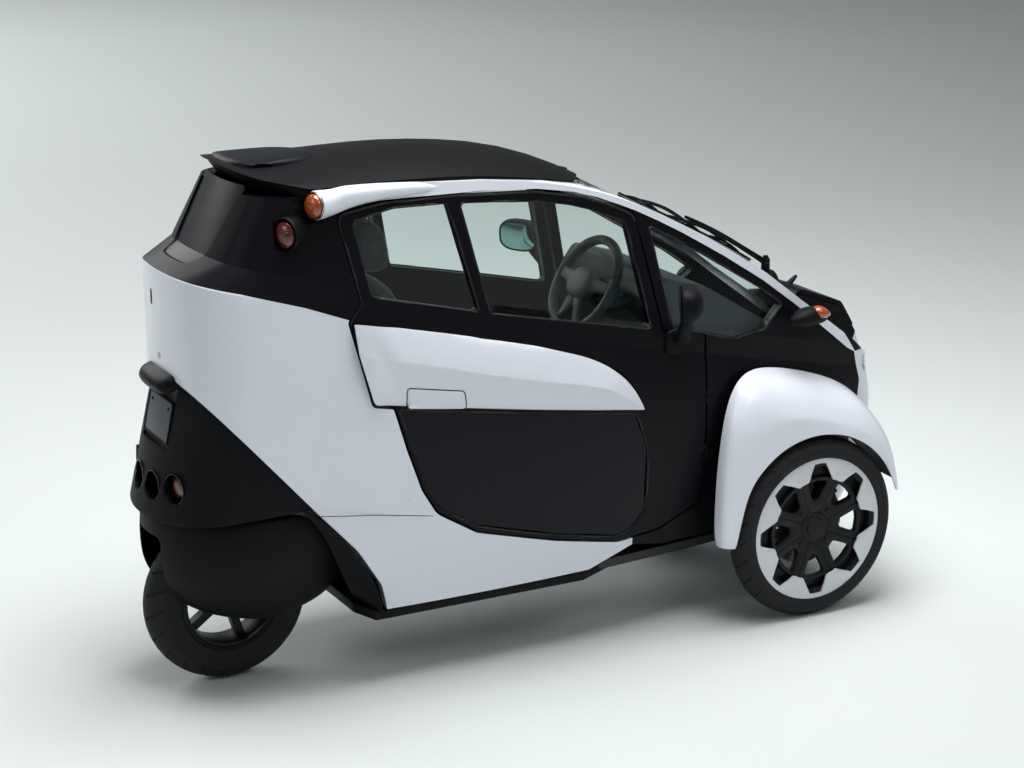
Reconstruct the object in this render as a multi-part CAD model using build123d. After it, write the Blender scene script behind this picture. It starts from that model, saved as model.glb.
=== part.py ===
from build123d import *
import os
from math import atan2, cos, hypot, radians, sin, sqrt, tan

# Tandem two-seat three-wheeler. Millimetres; +X forward, +Y left, +Z up, ground at Z 0,
# origin below the middle of the length.

# ---- driving dimensions ----
WHEELBASE = 1700
FRONT_X, REAR_X = 775, 775 - WHEELBASE      # axle lines
TRACK_HALF = 383                            # centre of a front wheel
FRONT_R, FRONT_HALF_W = 275, 41             # front tyre
REAR_R, REAR_HALF_W = 235, 60               # rear tyre
STEER_X = -860                              # upright axis the rear wheel steers about
FENDER_Y = 425                              # half of the overall width
WALL = 30                                   # body panel thickness
GLASS_IN, GLASS = 6, 5                      # glass recess and thickness
PROUD = 5                                   # white rail and door band stand out by this
GAP = 7                                     # shut line round a door
HINGE_X, HINGE_Y = 441.5, 322               # door hinge line, in the shut line at the skin
FIT = 0.3                                   # running clearance round a shaft
FLOOR_Z, FLOOR_T = 205, 30
CLEAR = 6                                   # least running clearance

# ---- body sections: planes that rise to the rear ----
#  height at X 0, tilt, X rear, X front, half widths rear / middle / front, corner radii rear / front
LOWER = [
    (205, 0.0, -1120, 1090, 235, 290, 150, 150, 110),
    (600, 6.0, -1090, 1172, 262, 350, 190, 180, 130),
    (930, 13.2, -1088, 1150, 258, 337, 195, 190, 120),
]
TAIL = [
    (205, 0.0, -1238, 1090, 232, 290, 150, 150, 110),
    (600, 6.0, -1118, 1172, 258, 348, 190, 170, 130),
    (930, 13.2, -1010, 1150, 254, 335, 195, 190, 120),
]
UPPER = [
    (930, 13.2, -1088, 1150, 258, 337, 195, 190, 120),
    (1000, 13.2, -1000, 1150, 250, 330, 195, 120, 120),
    (1540, 0.0, -840, 1050, 210, 258, 155, 80, 80),
]
WIDEST_X = -150
END_BULGE, TAIL_BULGE = 55, 90              # how far the ends of a section stand out at the middle

# Top line over the middle, front of the roof to the nose: X, Z
TOP_LINE = [(-1300, 1442), (-500, 1459), (-156, 1436), (135, 1342), (537, 1138), (950, 862), (1100, 728), (1168, 600), (1160, 150)]
SIDE_LINE = [(-1300, 1300), (-500, 1342), (0, 1297), (250, 1229), (550, 1062), (950, 774), (1100, 640), (1168, 540), (1160, 150)]
TOP_SLOPE, SIDE_SLOPE = 1.4, 5.5            # degrees at the rear end of the lines
SIDE_LINE_Y = 400


# ---- helpers ----
def polygon(points, y=0):
    """Closed outline in the XZ plane; a point is X, Z or X, Z, corner radius."""
    n, corners = len(points), []
    for i in range(n):
        (ax, az), (px, pz), (bx, bz) = points[i - 1][:2], points[i][:2], points[(i + 1) % n][:2]
        r = points[i][2] if len(points[i]) > 2 else 0
        if not r:
            corners.append([(px, y, pz)])
            continue
        ua, ub = hypot(ax - px, az - pz), hypot(bx - px, bz - pz)
        u, v = ((ax - px) / ua, (az - pz) / ua), ((bx - px) / ub, (bz - pz) / ub)
        w = hypot(u[0] + v[0], u[1] + v[1])
        half = atan2(sqrt(max(0, 1 - (w / 2) ** 2)), w / 2)
        t, d = r / tan(half), r / sin(half) - r
        m = ((u[0] + v[0]) / w, (u[1] + v[1]) / w)
        corners.append([
            (px + u[0] * t, y, pz + u[1] * t),
            (px + m[0] * d, y, pz + m[1] * d),
            (px + v[0] * t, y, pz + v[1] * t),
        ])
    edges = []
    for i, corner in enumerate(corners):
        if len(corner) == 3:
            edges.append(ThreePointArc(*corner))
        edges.append(Line(corner[-1], corners[(i + 1) % n][0]))
    return make_face(Wire(edges))


def prism(points, y0=-700, y1=700):
    return extrude(polygon(points, y0), amount=y1 - y0, dir=(0, 1, 0))


def grown(points, by, y0=-700, y1=700):
    """As prism, with the outline moved outward by this much."""
    face = polygon(points, y0)
    return extrude(offset(face, amount=by, kind=Kind.ARC), amount=y1 - y0, dir=(0, 1, 0))


def block(x0, x1, y0, y1, z0, z1):
    return Pos((x0 + x1) / 2, (y0 + y1) / 2, (z0 + z1) / 2) * Box(x1 - x0, y1 - y0, z1 - z0)


def rod(start, end, r):
    a, b = Vector(*start), Vector(*end)
    return Plane(origin=a, z_dir=b - a) * Cylinder(r, (b - a).length, align=(Align.CENTER, Align.CENTER, Align.MIN))


def other_side(shape):
    return mirror(shape, about=Plane.XZ)


def both(shape):
    return Compound(children=list(shape.solids()) + list(other_side(shape).solids()))


def largest(shape):
    return max(shape.solids(), key=lambda s: s.volume)


def no_slivers(shape, least=2000):
    return Compound(children=[s for s in shape.solids() if s.volume > least])


def section(level, inset, rear_bulge=END_BULGE):
    height, tilt, x_rear, x_front, w_rear, w_mid, w_front, r_rear, r_front = level
    t = radians(tilt)
    plane = Plane(origin=(0, 0, height), x_dir=(cos(t), 0, -sin(t)), z_dir=(sin(t), 0, cos(t)))
    xr, xf = (x_rear + inset) / cos(t), (x_front - inset) / cos(t)
    xrc, xfc = xr + rear_bulge, xf - END_BULGE
    wr, wm, wf = w_rear - inset, w_mid - inset, w_front - inset
    with BuildSketch(plane) as s:
        with BuildLine():
            ThreePointArc((xrc, -wr), (xr, 0), (xrc, wr))
            ThreePointArc((xrc, wr), (WIDEST_X, wm), (xfc, wf))
            ThreePointArc((xfc, wf), (xf, 0), (xfc, -wf))
            ThreePointArc((xfc, -wf), (WIDEST_X, -wm), (xrc, -wr))
        make_face()
        fillet(s.vertices().sort_by(Axis.X)[:2], r_rear - inset)
        fillet(s.vertices().sort_by(Axis.X)[-2:], r_front - inset)
    return s.sketch


def top_profile(y, line, slope):
    edges, tangent = [], (cos(radians(slope)), 0, sin(radians(slope)))
    points = [(x, y, z) for x, z in line]
    for p, q in zip(points, points[1:]):
        edges.append(TangentArc(p, q, tangent=tangent))
        tangent = edges[-1] % 1
    edges.append(Line(points[-1], (points[-1][0], y, 50)))
    edges.append(Line((points[-1][0], y, 50), (points[0][0], y, 50)))
    edges.append(Line((points[0][0], y, 50), points[0]))
    return make_face(Wire(edges))


ROOF_FORM = loft([top_profile(-SIDE_LINE_Y, SIDE_LINE, SIDE_SLOPE), top_profile(0, TOP_LINE, TOP_SLOPE), top_profile(SIDE_LINE_Y, SIDE_LINE, SIDE_SLOPE)])


def body(inset):
    """The whole body as a solid, its skin moved in by this much."""
    lower = loft([section(s, inset) for s in LOWER])
    upper = loft([section(s, inset) for s in UPPER], ruled=True)
    return (lower + upper) & (Pos(-0.6 * inset, 0, -inset) * ROOF_FORM)


outer = body(0)
inner = body(WALL)
shell = outer - inner
glass_skin = body(GLASS_IN) - body(GLASS_IN + GLASS)
proud_skin = body(-PROUD) - body(10)

# ---- outlines in side view: X, Z, corner radius ----
DOOR = [(438, 380), (438, 885, 20), (288, 915, 8), (206, 1254, 20), (122, 1291), (43, 1319), (-100, 1347), (-350, 1359), (-560, 1356),
        (-675, 1335, 18), (-627, 1100), (-666, 1056, 6), (-607, 826, 8), (-549, 815, 8), (-512, 692), (-469, 572),
        (-424, 498, 60), (-302, 423), (-50, 353), (163, 307, 60), (300, 318, 40)]
REAR_PANE = [(-638, 1316, 15), (-520, 1343), (-365, 1342, 12), (-293, 1043, 12), (-603, 1116, 15)]
FRONT_PANE = [(-331, 1339, 12), (-223, 1333), (-92, 1321), (2, 1303), (74, 1281), (129, 1260), (180, 1239, 15), (252, 926, 15), (-263, 1035, 12)]
QUARTER = [(256, 1216, 8), (328, 1179), (431, 1120), (646, 992), (735, 928, 12), (660, 862), (560, 851), (440, 888), (325, 912, 15)]
BAND = [(-664, 1060), (-395, 1000), (-120, 930), (36, 878), (149, 817, 60), (199, 757, 30), (223, 700, 5), (-607, 829)]
HANDLE = [(-523, 870, 12), (-352, 841, 12), (-343, 779, 3), (-523, 806, 3)]
LOWER_PANE = [(-540, 807, 6), (195, 694, 8), (238, 585), (247, 385, 30), (205, 330, 40), (160, 318, 60), (-50, 364),
              (-298, 434), (-417, 506, 60), (-459, 577), (-502, 694)]
RAIL_LOW = [(-728, 1363), (-499, 1367), (-262, 1366), (-100, 1356), (13, 1337), (90, 1314), (166, 1284), (213, 1264), (294, 1224),
            (371, 1183), (513, 1101), (661, 1008), (776, 925), (900, 830), (1002, 750)]
RAIL_HIGH = [(1036, 732), (988, 798), (803, 932), (669, 1031), (560, 1100), (450, 1166), (362, 1212), (306, 1240), (240, 1272),
             (185, 1298), (100, 1330), (26, 1353), (-67, 1371), (-252, 1392), (-489, 1405), (-746, 1402)]
WHITE_TOP = [(-1300, 1232), (-1110, 1190), (-953, 1158), (-789, 1109), (-664, 1062)]
WHITE_LOW = [(-561, 225), (-581, 302), (-654, 416), (-754, 525), (-989, 794), (-1134, 963), (-1300, 1110)]

door_gap = grown(DOOR, GAP)
rail_zone = prism(RAIL_LOW + RAIL_HIGH)
over_rail = prism(RAIL_HIGH + [(-1300, 1392), (-1300, 1700), (1300, 1700), (1300, 745)])

lip_plan = Pos(0, 0, 1200) * extrude(make_face(Polyline((-600, -250), (-742, -282), (-775, -282), (-835, -272), (-880, -205), (-902, -60), (-902, 60), (-880, 205), (-835, 272), (-775, 282), (-742, 282), (-600, 250), close=True)), amount=400)
lip = (ROOF_FORM - Pos(0, 0, -18) * ROOF_FORM) & lip_plan

parts = {}

# ---- floor, battery, bulkhead ----
slab = block(-530, 960, -400, 400, FLOOR_Z, FLOOR_Z + FLOOR_T)
parts["floor_pan"] = inner & slab
parts["battery_block"] = block(-480, 20, -190, 190, FLOOR_Z + FLOOR_T, 420)
bulkhead = (inner & block(-530, -512, -400, 400, FLOOR_Z + FLOOR_T, 547)) + (inner & block(-1150, -530, -400, 400, 523, 547))
parts["bulkhead"] = bulkhead

# ---- outer panels ----
rear_zone = prism(WHITE_TOP + [(-500, 700), (0, 500), (210, 330), (215, 283), (75, 228)] + WHITE_LOW)
parts["rear_shell"] = (shell & rear_zone) - door_gap
upper_zone = prism(WHITE_TOP[:-1] + [(-664, 1062), (-400, 1100), (-560, 1366), (-728, 1363), (-746, 1392), (-1300, 1392)]) - rail_zone
REAR_WINDOW = [(-140, 1412, 12), (140, 1412, 12), (112, 1210, 48), (-112, 1210, 48)]    # Y, Z, corner radius
window_cut = Rot(0, 0, 90) * prism(REAR_WINDOW, 780, 1200)
parts["upper_shell"] = (shell & upper_zone) - door_gap - window_cut - lip
parts["rear_window"] = (glass_skin & window_cut & block(-1200, -800, -300, 300, 1200, 1500)) - lip
roof_end = block(-1300, -100, -700, 700, 1200, 1700) + Pos(-158, 0, 1450) * Cylinder(310, 500)
roof_zone = (over_rail - rail_zone) & roof_end
parts["roof_panel"] = largest(((shell & roof_zone & block(-905, 300, -400, 400, 1000, 1600)) - window_cut) + (lip - rail_zone - inner))
screen_zone = (over_rail - rail_zone - roof_end) & block(0, 940, -700, 700, 600, 1700)
parts["windscreen"] = glass_skin & screen_zone
parts["arch_rails"] = proud_skin & rail_zone
hood_zone = (over_rail - rail_zone) & block(940, 1300, -700, 700, 640, 1700)
lamps = both((body(-2) - body(20)) & block(1040, 1200, -190, -80, 660, 760))
HOOD = [(880, 903), (892, 924, 30), (963, 897, 60), (1052, 864, 25), (1098, 790, 30), (1120, 722), (1080, 700), (880, 850)]
bonnet = prism(HOOD, -112, 112) + Pos(-8, 0, -16) * prism(HOOD, -135, 135)

side_zone = prism([(210, 330), (100, 600), (100, 1321)] + RAIL_LOW[6:] + [(1036, 732), (1060, 640), (1010, 330), (960, 270), (325, 262), (215, 283)])
arm_slots = both(block(725, 825, -330, -150, 245, 285) + block(735, 815, -330, -150, 470, 505))
side_zone -= rail_zone
parts["front_side_panels"] = (shell & side_zone) - lamps - door_gap - prism(QUARTER) - arm_slots
parts["quarter_windows"] = glass_skin & prism(QUARTER)
nose_zone = prism([(1036, 732), (1060, 640), (1010, 330), (960, 270), (960, 205), (1300, 205), (1300, 732)])
parts["nose"] = (shell & (nose_zone - rail_zone)) - hood_zone - lamps - side_zone
hood = (shell & hood_zone) + ((bonnet & block(940, 1300, -200, 200, 600, 1000)) - inner)
hood += (bonnet & block(800, 940, -200, 200, 700, 1000)) - Pos(-0.6 * GLASS_IN, 0, FIT - GLASS_IN) * ROOF_FORM
for name in ("arch_rails", "nose", "front_side_panels"):
    hood -= parts[name]
parts["hood"] = largest(hood - lamps)

# ---- suspension, knuckles ----
arms = block(725, 825, -296, -150, 245, 285) + block(735, 815, -296, -150, 470, 505)
parts["suspension_arms"] = both(arms) + block(735, 815, -150, 150, 245, 285) + block(735, 815, -150, 150, 470, 505) \
    + block(755, 795, -20, 20, 235, 470)
knuckle = block(735, 815, -320, -296, 190, 590) + block(750, 800, -409, -296, 590, 604) + rod((FRONT_X, -320, FRONT_R), (FRONT_X, -385, FRONT_R), 16)
parts["knuckles"] = both(knuckle)

# ---- front fenders ----
FENDER = [(424, 262), (493, 592), (527, 770, 40), (600, 803, 60), (798, 742, 90), (908, 677, 90), (1005, 546, 120), (1050, 383)]


def fender():
    solid = prism(FENDER, -FENDER_Y, -240)
    hollow = grown(FENDER, -15, -FENDER_Y + 16, -200) + prism([(300, 200), (300, 700), (560, 700), (560, 200)], -FENDER_Y + 16, -200)
    skin = solid - hollow
    skin -= rod((FRONT_X, -500, FRONT_R), (FRONT_X, -200, FRONT_R), FRONT_R + 17)
    skin -= block(600, 1100, -500, -200, 0, 383)
    skin -= Pos(0, 0, 500) * extrude(make_face(Polyline((400, -405), (470, -405), (585, -255), (585, -200), (400, -200), close=True)), amount=700, both=True)
    return largest(skin - outer)


parts["fender_right"] = fender()
parts["fender_left"] = other_side(parts["fender_right"])

# ---- doors ----
door_zone = prism(DOOR, -700, 0) - rail_zone
right_door = (shell & door_zone) - prism(REAR_PANE) - prism(FRONT_PANE) - prism(LOWER_PANE)
band = proud_skin & prism(BAND, -700, 0) & door_zone
door_shell = right_door - band
door_band = band
door_window = (glass_skin & (prism(REAR_PANE, -700, 0) + prism(FRONT_PANE, -700, 0)))
door_pane = glass_skin & prism(LOWER_PANE, -700, 0)
handle = (body(-PROUD - 6) - body(-PROUD)) & prism(HANDLE, -700, 0)
mirror_arm = block(240, 275, -345, -318, 900, 985) + rod((258, -335, 960), (262, -470, 1010), 12)
mirror_head = Pos(263, -521, 1038) * fillet(Box(52, 104, 128).edges(), 18)
for side, flip in (("right", False), ("left", True)):
    for name, shape in (("door_shell", door_shell), ("door_band", door_band), ("door_window", door_window),
                        ("door_pane", door_pane), ("door_handle", handle), ("mirror", (mirror_arm - outer) + mirror_head)):
        parts[name + "_" + side] = other_side(shape) if flip else shape

hinges = Compound(children=[])
for z in (540, 700):
    pin = rod((HINGE_X, -HINGE_Y, z - 20), (HINGE_X, -HINGE_Y, z + 20), 2)
    knuckle_in = block(HINGE_X, HINGE_X + 30, -HINGE_Y + 1, -HINGE_Y + 13, z - 20, z - 1) + rod((HINGE_X, -HINGE_Y, z - 20), (HINGE_X, -HINGE_Y, z - 1), 3)
    knuckle_out = block(HINGE_X - 30, HINGE_X, -HINGE_Y + 1, -HINGE_Y + 13, z, z + 20) + rod((HINGE_X, -HINGE_Y, z), (HINGE_X, -HINGE_Y, z + 20), 3)
    fixed = (knuckle_in + pin)
    moving = knuckle_out - rod((HINGE_X, -HINGE_Y, z - 30), (HINGE_X, -HINGE_Y, z + 30), 2 + FIT)
    parts["front_side_panels"] = parts["front_side_panels"] + fixed + other_side(fixed)
    parts["door_shell_right"] = parts["door_shell_right"] + moving
    parts["door_shell_left"] = parts["door_shell_left"] + other_side(moving)

# ---- rear steering unit: everything stays inside one upright cylinder ----
TURN_R = 290
tail_zone = prism([(-1300, 505), (-738, 505)] + WHITE_LOW[3:])
plate_plane_cut = Plane(origin=(-1091, 0, 778), x_dir=(0, 1, 0), z_dir=(-cos(radians(12)), 0, sin(radians(12)))) * Pos(0, -28, 97) * Box(182, 200, 200)
tail_outer, tail_inner = [loft([section(s, inset, TAIL_BULGE) for s in TAIL]) for inset in (0, WALL)]
tail_skin = tail_outer - tail_inner
tail_floor = tail_inner & block(-1250, -575, -400, 400, 505, 523) & (inner + block(-1250, -1000, -400, 400, 500, 530))
arch_ring = Pos(STEER_X, 0, 370) * (Cylinder(TURN_R + 42, 270) - Cylinder(TURN_R + 30, 270))
arch_ring &= inner & block(-760, -500, -400, 400, 235, 505)
tail = (tail_skin & tail_zone) + tail_floor + arch_ring - Pos(STEER_X, 0, 515) * Cylinder(30 + FIT, 60)
tail -= plate_plane_cut
parts["tail_housing"] = largest(tail - parts["rear_shell"] - parts["bulkhead"])

with BuildSketch(Plane.XZ) as hug:
    with BuildLine():
        Polyline((0, 497), (TURN_R - 24, 497), (TURN_R - 8, 470), (TURN_R, 430), (TURN_R - 6, 330), (262, 268), (248, 268), (TURN_R - 20, 330), (TURN_R - 14, 430), (TURN_R - 22, 465), (TURN_R - 34, 485), (0, 485), close=True)
    make_face()
hugger = Pos(STEER_X, 0, 0) * revolve(hug.sketch, Axis.Z)
hugger -= prism([(-1300, 520), (-1150, 470), (-1036, 262), (-1036, 200), (-1300, 200)], -82, 82)
hugger -= prism([(-1300, 470), (-1180, 466), (-1132, 331), (-1036, 262), (-1036, 200), (-1300, 200)])
parts["hugger"] = largest(hugger)
legs = both(block(REAR_X - 22, REAR_X + 22, -92, -72, REAR_R - 25, 485))
fork = legs + rod((REAR_X, -92, REAR_R), (REAR_X, 92, REAR_R), 11)
parts["rear_fork"] = Compound(children=list(fork.solids()) + [Pos(STEER_X, 0, 508.5) * Cylinder(30, 23)])

# ---- wheels ----
def wheel_ring(points, x, z, y=0):
    """Ring about a wheel's axle from radius, offset points."""
    with BuildSketch(Plane.XY) as s:
        with BuildLine():
            Polyline(*[(r, o) for r, o in points], close=True)
        make_face()
    return Pos(x, y, z) * revolve(s.sketch, Axis.Y)


FRONT_TYRE = [(204, 31), (226, 33), (245, 41), (262, 34), (272, 18), (275, 6), (275, -6), (272, -18), (262, -34), (245, -41), (226, -33), (204, -31)]
REAR_TYRE = [(142, 50), (160, 58), (190, 60), (212, 52), (230, 25), (235, 8), (235, -8), (230, -25), (212, -52), (190, -60), (160, -58), (142, -50)]
front_tyre = wheel_ring(FRONT_TYRE, FRONT_X, FRONT_R, -TRACK_HALF)


def front_rim():
    rim = wheel_ring([(188, 31), (204, 31), (204, -31), (188, -31)], 0, 0)
    spokes = Rot(90, 0, 0) * (Cylinder(48, 50) - Cylinder(16 + FIT, 60))
    for i in range(8):
        spokes += Rot(0, 45 * i + 22.5, 0) * block(44, 190, -22, 0, -13, 13)
    return Pos(FRONT_X, -TRACK_HALF, FRONT_R) * (rim + spokes)


def rim_cover():
    ring = Rot(90, 0, 0) * (Cylinder(223, 7) - Cylinder(140, 8))
    for i in range(8):
        notch = prism([(120, -30), (203, -20), (203, 20), (120, 30)], -10, 10)
        ring -= Rot(0, 45 * i, 0) * notch
    return Pos(FRONT_X, -TRACK_HALF - 37, FRONT_R) * ring


front_wheel = {"front_tyre": front_tyre, "front_rim": front_rim(), "rim_cover": rim_cover()}
for name, shape in front_wheel.items():
    parts[name + "_right"] = shape
    parts[name + "_left"] = other_side(shape)
parts["rear_tyre"] = wheel_ring(REAR_TYRE, REAR_X, REAR_R)
rear_rim = wheel_ring([(128, 50), (142, 50), (142, -50), (128, -50)], 0, 0) + Rot(90, 0, 0) * (Cylinder(40, 110) - Cylinder(11 + FIT, 120))
for i in range(5):
    rear_rim += Rot(0, 72 * i, 0) * block(36, 130, -15, 15, -12, 12)
parts["rear_rim"] = Pos(REAR_X, 0, REAR_R) * rear_rim

# ---- cabin ----
parts["driver_seat"] = prism([(-420, 420), (0, 420), (20, 500, 20), (-10, 525, 20), (-360, 490, 20), (-455, 1150), (-480, 1280, 25), (-545, 1285, 25), (-560, 1120), (-500, 600)], -190, 190)
parts["rear_seat"] = prism([(-940, 547), (-590, 547), (-570, 600, 15), (-600, 625, 15), (-890, 610, 15), (-950, 1050, 20), (-1000, 1050, 20), (-960, 620)], -180, 180)
dash_zone = prism([(330, 640), (290, 985, 20), (330, 1050, 20), (470, 1010), (720, 860), (760, 640)], -700, 700)
parts["dashboard"] = body(WALL + 6) & dash_zone
parts["dashboard"] = parts["dashboard"] + block(500, 560, -60, 60, 235, 640)
WHEEL_C, WHEEL_TILT = (219, 0, 987), 62
wheel_plane = Plane(origin=WHEEL_C, x_dir=(0, 1, 0), z_dir=(-cos(radians(WHEEL_TILT - 32)), 0, sin(radians(WHEEL_TILT - 32))))
ring = Torus(160, 14)
spokes = Cylinder(38, 24) + Pos(-80, 0, 0) * Box(140, 26, 14) + Pos(80, 0, 0) * Box(140, 26, 14) + Pos(0, -80, 0) * Box(26, 140, 14)
parts["steering_wheel"] = wheel_plane * (ring + spokes)
parts["steering_column"] = wheel_plane * (Pos(0, 0, -12 - FIT - 70) * Cylinder(28, 140)) - parts["dashboard"]

# ---- tail and lamps ----
plate_plane = Plane(origin=(-1091, 0, 778), x_dir=(0, 1, 0), z_dir=(-cos(radians(12)), 0, sin(radians(12))))
parts["number_plate"] = plate_plane * Pos(0, 0, 0) * Box(170, 108, 6)
parts["plate_hood"] = prism([(-1040, 935), (-1088, 932), (-1120, 910, 12), (-1117, 874, 12), (-1088, 862), (-1040, 870)], -72, 72) - tail_outer - outer
red = both(rod((-1200, -150, 615), (-1100, -150, 615), 38)) & tail_skin
parts["tail_housing"] -= red
amber = both(rod((-790, -270, 1358), (-735, -270, 1358), 40))
stop = both(rod((-850, -268, 1300), (-790, -268, 1300), 44))
parts["upper_shell"] = largest(parts["upper_shell"] - amber - stop)
parts["amber_lamps"] = amber - inner - parts["arch_rails"] - lip
parts["red_lamps"] = Compound(children=list(red.solids()) + list((stop - inner).solids()))
parts["headlamps"] = lamps
PAD = [(-875, 1435), (-872, 1470, 4), (-780, 1473), (-620, 1467, 60), (-545, 1456), (-545, 1435)]
pad = prism(PAD, -120, 120) & Pos(-700, 0, 1300) * extrude(make_face(Polyline((-172, -75), (-150, -90), (150, -22), (160, 0), (150, 22), (-150, 90), (-172, 75), close=True)), amount=300)
parts["spoiler"] = largest(pad - Pos(0, 0, FIT) * ROOF_FORM)
glass_top = Pos(-0.6 * GLASS_IN, 0, FIT - GLASS_IN) * ROOF_FORM
blade = (Pos(0, 0, 14) * glass_top - glass_top) & block(232, 735, -156, -144, 900, 1400)
arm = rod((430, -150, 1196), (430, -150, 1222), 6) + rod((430, -150, 1220), (812, -52, 1000), 6) + rod((812, -52, 930), (812, -52, 1008), 13)
parts["wipers"] = largest(blade + (arm - glass_top))

os.makedirs("parts", exist_ok=True)
for name, shape in parts.items():
    export_step(shape if not isinstance(shape, (list, ShapeList)) else Compound(children=list(shape)), "parts/" + name + ".step")
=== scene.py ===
"""Dresses a tandem three-wheeled city car: finishes for its CAD nodes, and the pieces that ride on
its bodies."""
from math import atan2, cos, hypot, pi, radians, sin, sqrt

import bpy
from mathutils import Matrix, Vector
from mathutils.bvhtree import BVHTree


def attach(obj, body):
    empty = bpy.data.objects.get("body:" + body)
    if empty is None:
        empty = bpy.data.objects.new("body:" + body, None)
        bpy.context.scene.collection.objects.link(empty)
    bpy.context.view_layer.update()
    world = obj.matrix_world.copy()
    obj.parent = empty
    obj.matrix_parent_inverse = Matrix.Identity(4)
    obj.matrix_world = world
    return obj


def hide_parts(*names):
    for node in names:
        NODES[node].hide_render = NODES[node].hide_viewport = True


bl_info = {
    "name": "Three-wheeled city car",
    "version": (1, 0, 0),
    "blender": (4, 5, 0),
    "location": "3D View > Sidebar > Car",
    "description": "Paints a narrow three-wheeled car and models its trim, wheels, lamps and cabin",
    "category": "Object",
}

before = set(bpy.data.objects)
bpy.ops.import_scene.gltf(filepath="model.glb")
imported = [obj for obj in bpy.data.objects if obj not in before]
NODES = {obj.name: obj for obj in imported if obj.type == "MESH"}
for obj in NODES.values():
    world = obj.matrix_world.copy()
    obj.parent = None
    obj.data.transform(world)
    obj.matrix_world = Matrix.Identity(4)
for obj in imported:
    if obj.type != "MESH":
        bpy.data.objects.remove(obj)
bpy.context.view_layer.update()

# Wheel centres and other places shared with the CAD, in metres
FRONT_WHEEL = Vector((0.775, 0.383, 0.275))
REAR_WHEEL = Vector((-0.925, 0.0, 0.235))
STEER_X = -0.860
Y_AXIS, Z_AXIS = (0, 1, 0), (0, 0, 1)
SIDES = (("right", -1), ("left", 1))


# ---- small tools ----
def linear(code):
    """sRGB hex to the linear colour that a shader takes."""
    values = [int(code[i : i + 2], 16) / 255 for i in (1, 3, 5)]
    return tuple(v / 12.92 if v <= 0.04045 else ((v + 0.055) / 1.055) ** 2.4 for v in values) + (1.0,)


def add_node(tree, kind, links=(), **settings):
    """Adds a node. Settings name its properties or inputs; links pair an input with an output."""
    item = tree.nodes.new(kind)
    for key, value in settings.items():
        if hasattr(item, key):
            setattr(item, key, value)
        else:
            item.inputs[key.replace("_", " ")].default_value = value
    for socket, source in links:
        tree.links.new(source, item.inputs[socket])
    return item


def only(piece):
    bpy.ops.object.select_all(action="DESELECT")
    piece.select_set(True)
    bpy.context.view_layer.objects.active = piece


def modified(piece, kind, **settings):
    """Adds a modifier with these settings and applies it."""
    only(piece)
    mod = piece.modifiers.new(kind.lower(), kind)
    for key, value in settings.items():
        setattr(mod, key, value)
    bpy.ops.object.modifier_apply(modifier=mod.name)
    return piece


def edit(piece, *steps):
    """Runs edit-mode operators on the whole piece."""
    only(piece)
    bpy.ops.object.mode_set(mode="EDIT")
    bpy.ops.mesh.select_all(action="SELECT")
    for step in steps:
        step()
    bpy.ops.object.mode_set(mode="OBJECT")
    return piece


def tidy(piece, distance=1e-5):
    """Merges doubles and turns the faces outwards."""
    return edit(
        piece,
        lambda: bpy.ops.mesh.remove_doubles(threshold=distance),
        lambda: bpy.ops.mesh.normals_make_consistent(inside=False),
    )


def bevelled(piece, width, degrees=35, segments=2):
    """Rounds the edges where the faces turn by more than these degrees."""
    return modified(
        piece, "BEVEL", width=width, segments=segments, limit_method="ANGLE", angle_limit=radians(degrees)
    )


def thickened(piece, thickness, offset=-1, **settings):
    return modified(piece, "SOLIDIFY", thickness=thickness, offset=offset, **settings)


def subdivided(piece, levels):
    return modified(piece, "SUBSURF", levels=levels, render_levels=levels)


def cut_out(piece, cutter):
    """Takes the cutter's shape out of a piece, and the cutter out of the scene."""
    modified(piece, "BOOLEAN", operation="DIFFERENCE", solver="EXACT", object=cutter)
    bpy.data.objects.remove(cutter)


def joined(name, pieces):
    bpy.ops.object.select_all(action="DESELECT")
    for piece in pieces:
        piece.select_set(True)
    bpy.context.view_layer.objects.active = pieces[0]
    bpy.ops.object.join()
    pieces[0].name = pieces[0].data.name = name
    return pieces[0]


def facing(piece, axis, sign=1):
    """Turns a sheet over where its faces look the wrong way along an axis."""
    if sum((p.normal[axis] for p in piece.data.polygons), 0.0) * sign < 0:
        piece.data.flip_normals()


def outward(piece, axis, sign=1):
    """Makes a sheet's faces agree, and look along an axis."""
    edit(piece, lambda: bpy.ops.mesh.normals_make_consistent(inside=False))
    facing(piece, axis, sign)


def copied(piece, name, matrix):
    """A copy with its own mesh, moved by the matrix; a mirrored copy is turned right side out."""
    other = piece.copy()
    other.data = piece.data.copy()
    bpy.context.collection.objects.link(other)
    other.name = other.data.name = name
    other.data.transform(matrix)
    if matrix.determinant() < 0:
        other.data.flip_normals()
    return other


def loop_of(name, points, fill="NOTHING"):
    """A closed run of edges through the points, from a circle whose corners are put in place."""
    bpy.ops.object.select_all(action="DESELECT")
    bpy.ops.mesh.primitive_circle_add(vertices=len(points), radius=1, fill_type=fill)
    piece = bpy.context.object
    piece.name = piece.data.name = name
    for vertex, point in zip(piece.data.vertices, points):
        vertex.co = point
    return piece


def turned(name, points, centre, axis=(0, 1, 0), steps=96):
    """A closed outline of points spun round an axis. Points are radius and offset along the axis."""
    along = Vector(axis).normalized()
    out = along.orthogonal().normalized() if abs(along.y) < 0.9 else Vector((1, 0, 0))
    centre = Vector(centre)
    piece = loop_of(name, [centre + out * r + along * o for r, o in points])
    edit(piece, lambda: bpy.ops.mesh.spin(steps=steps, angle=2 * pi, center=centre, axis=along))
    return tidy(piece, 2e-5)


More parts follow.
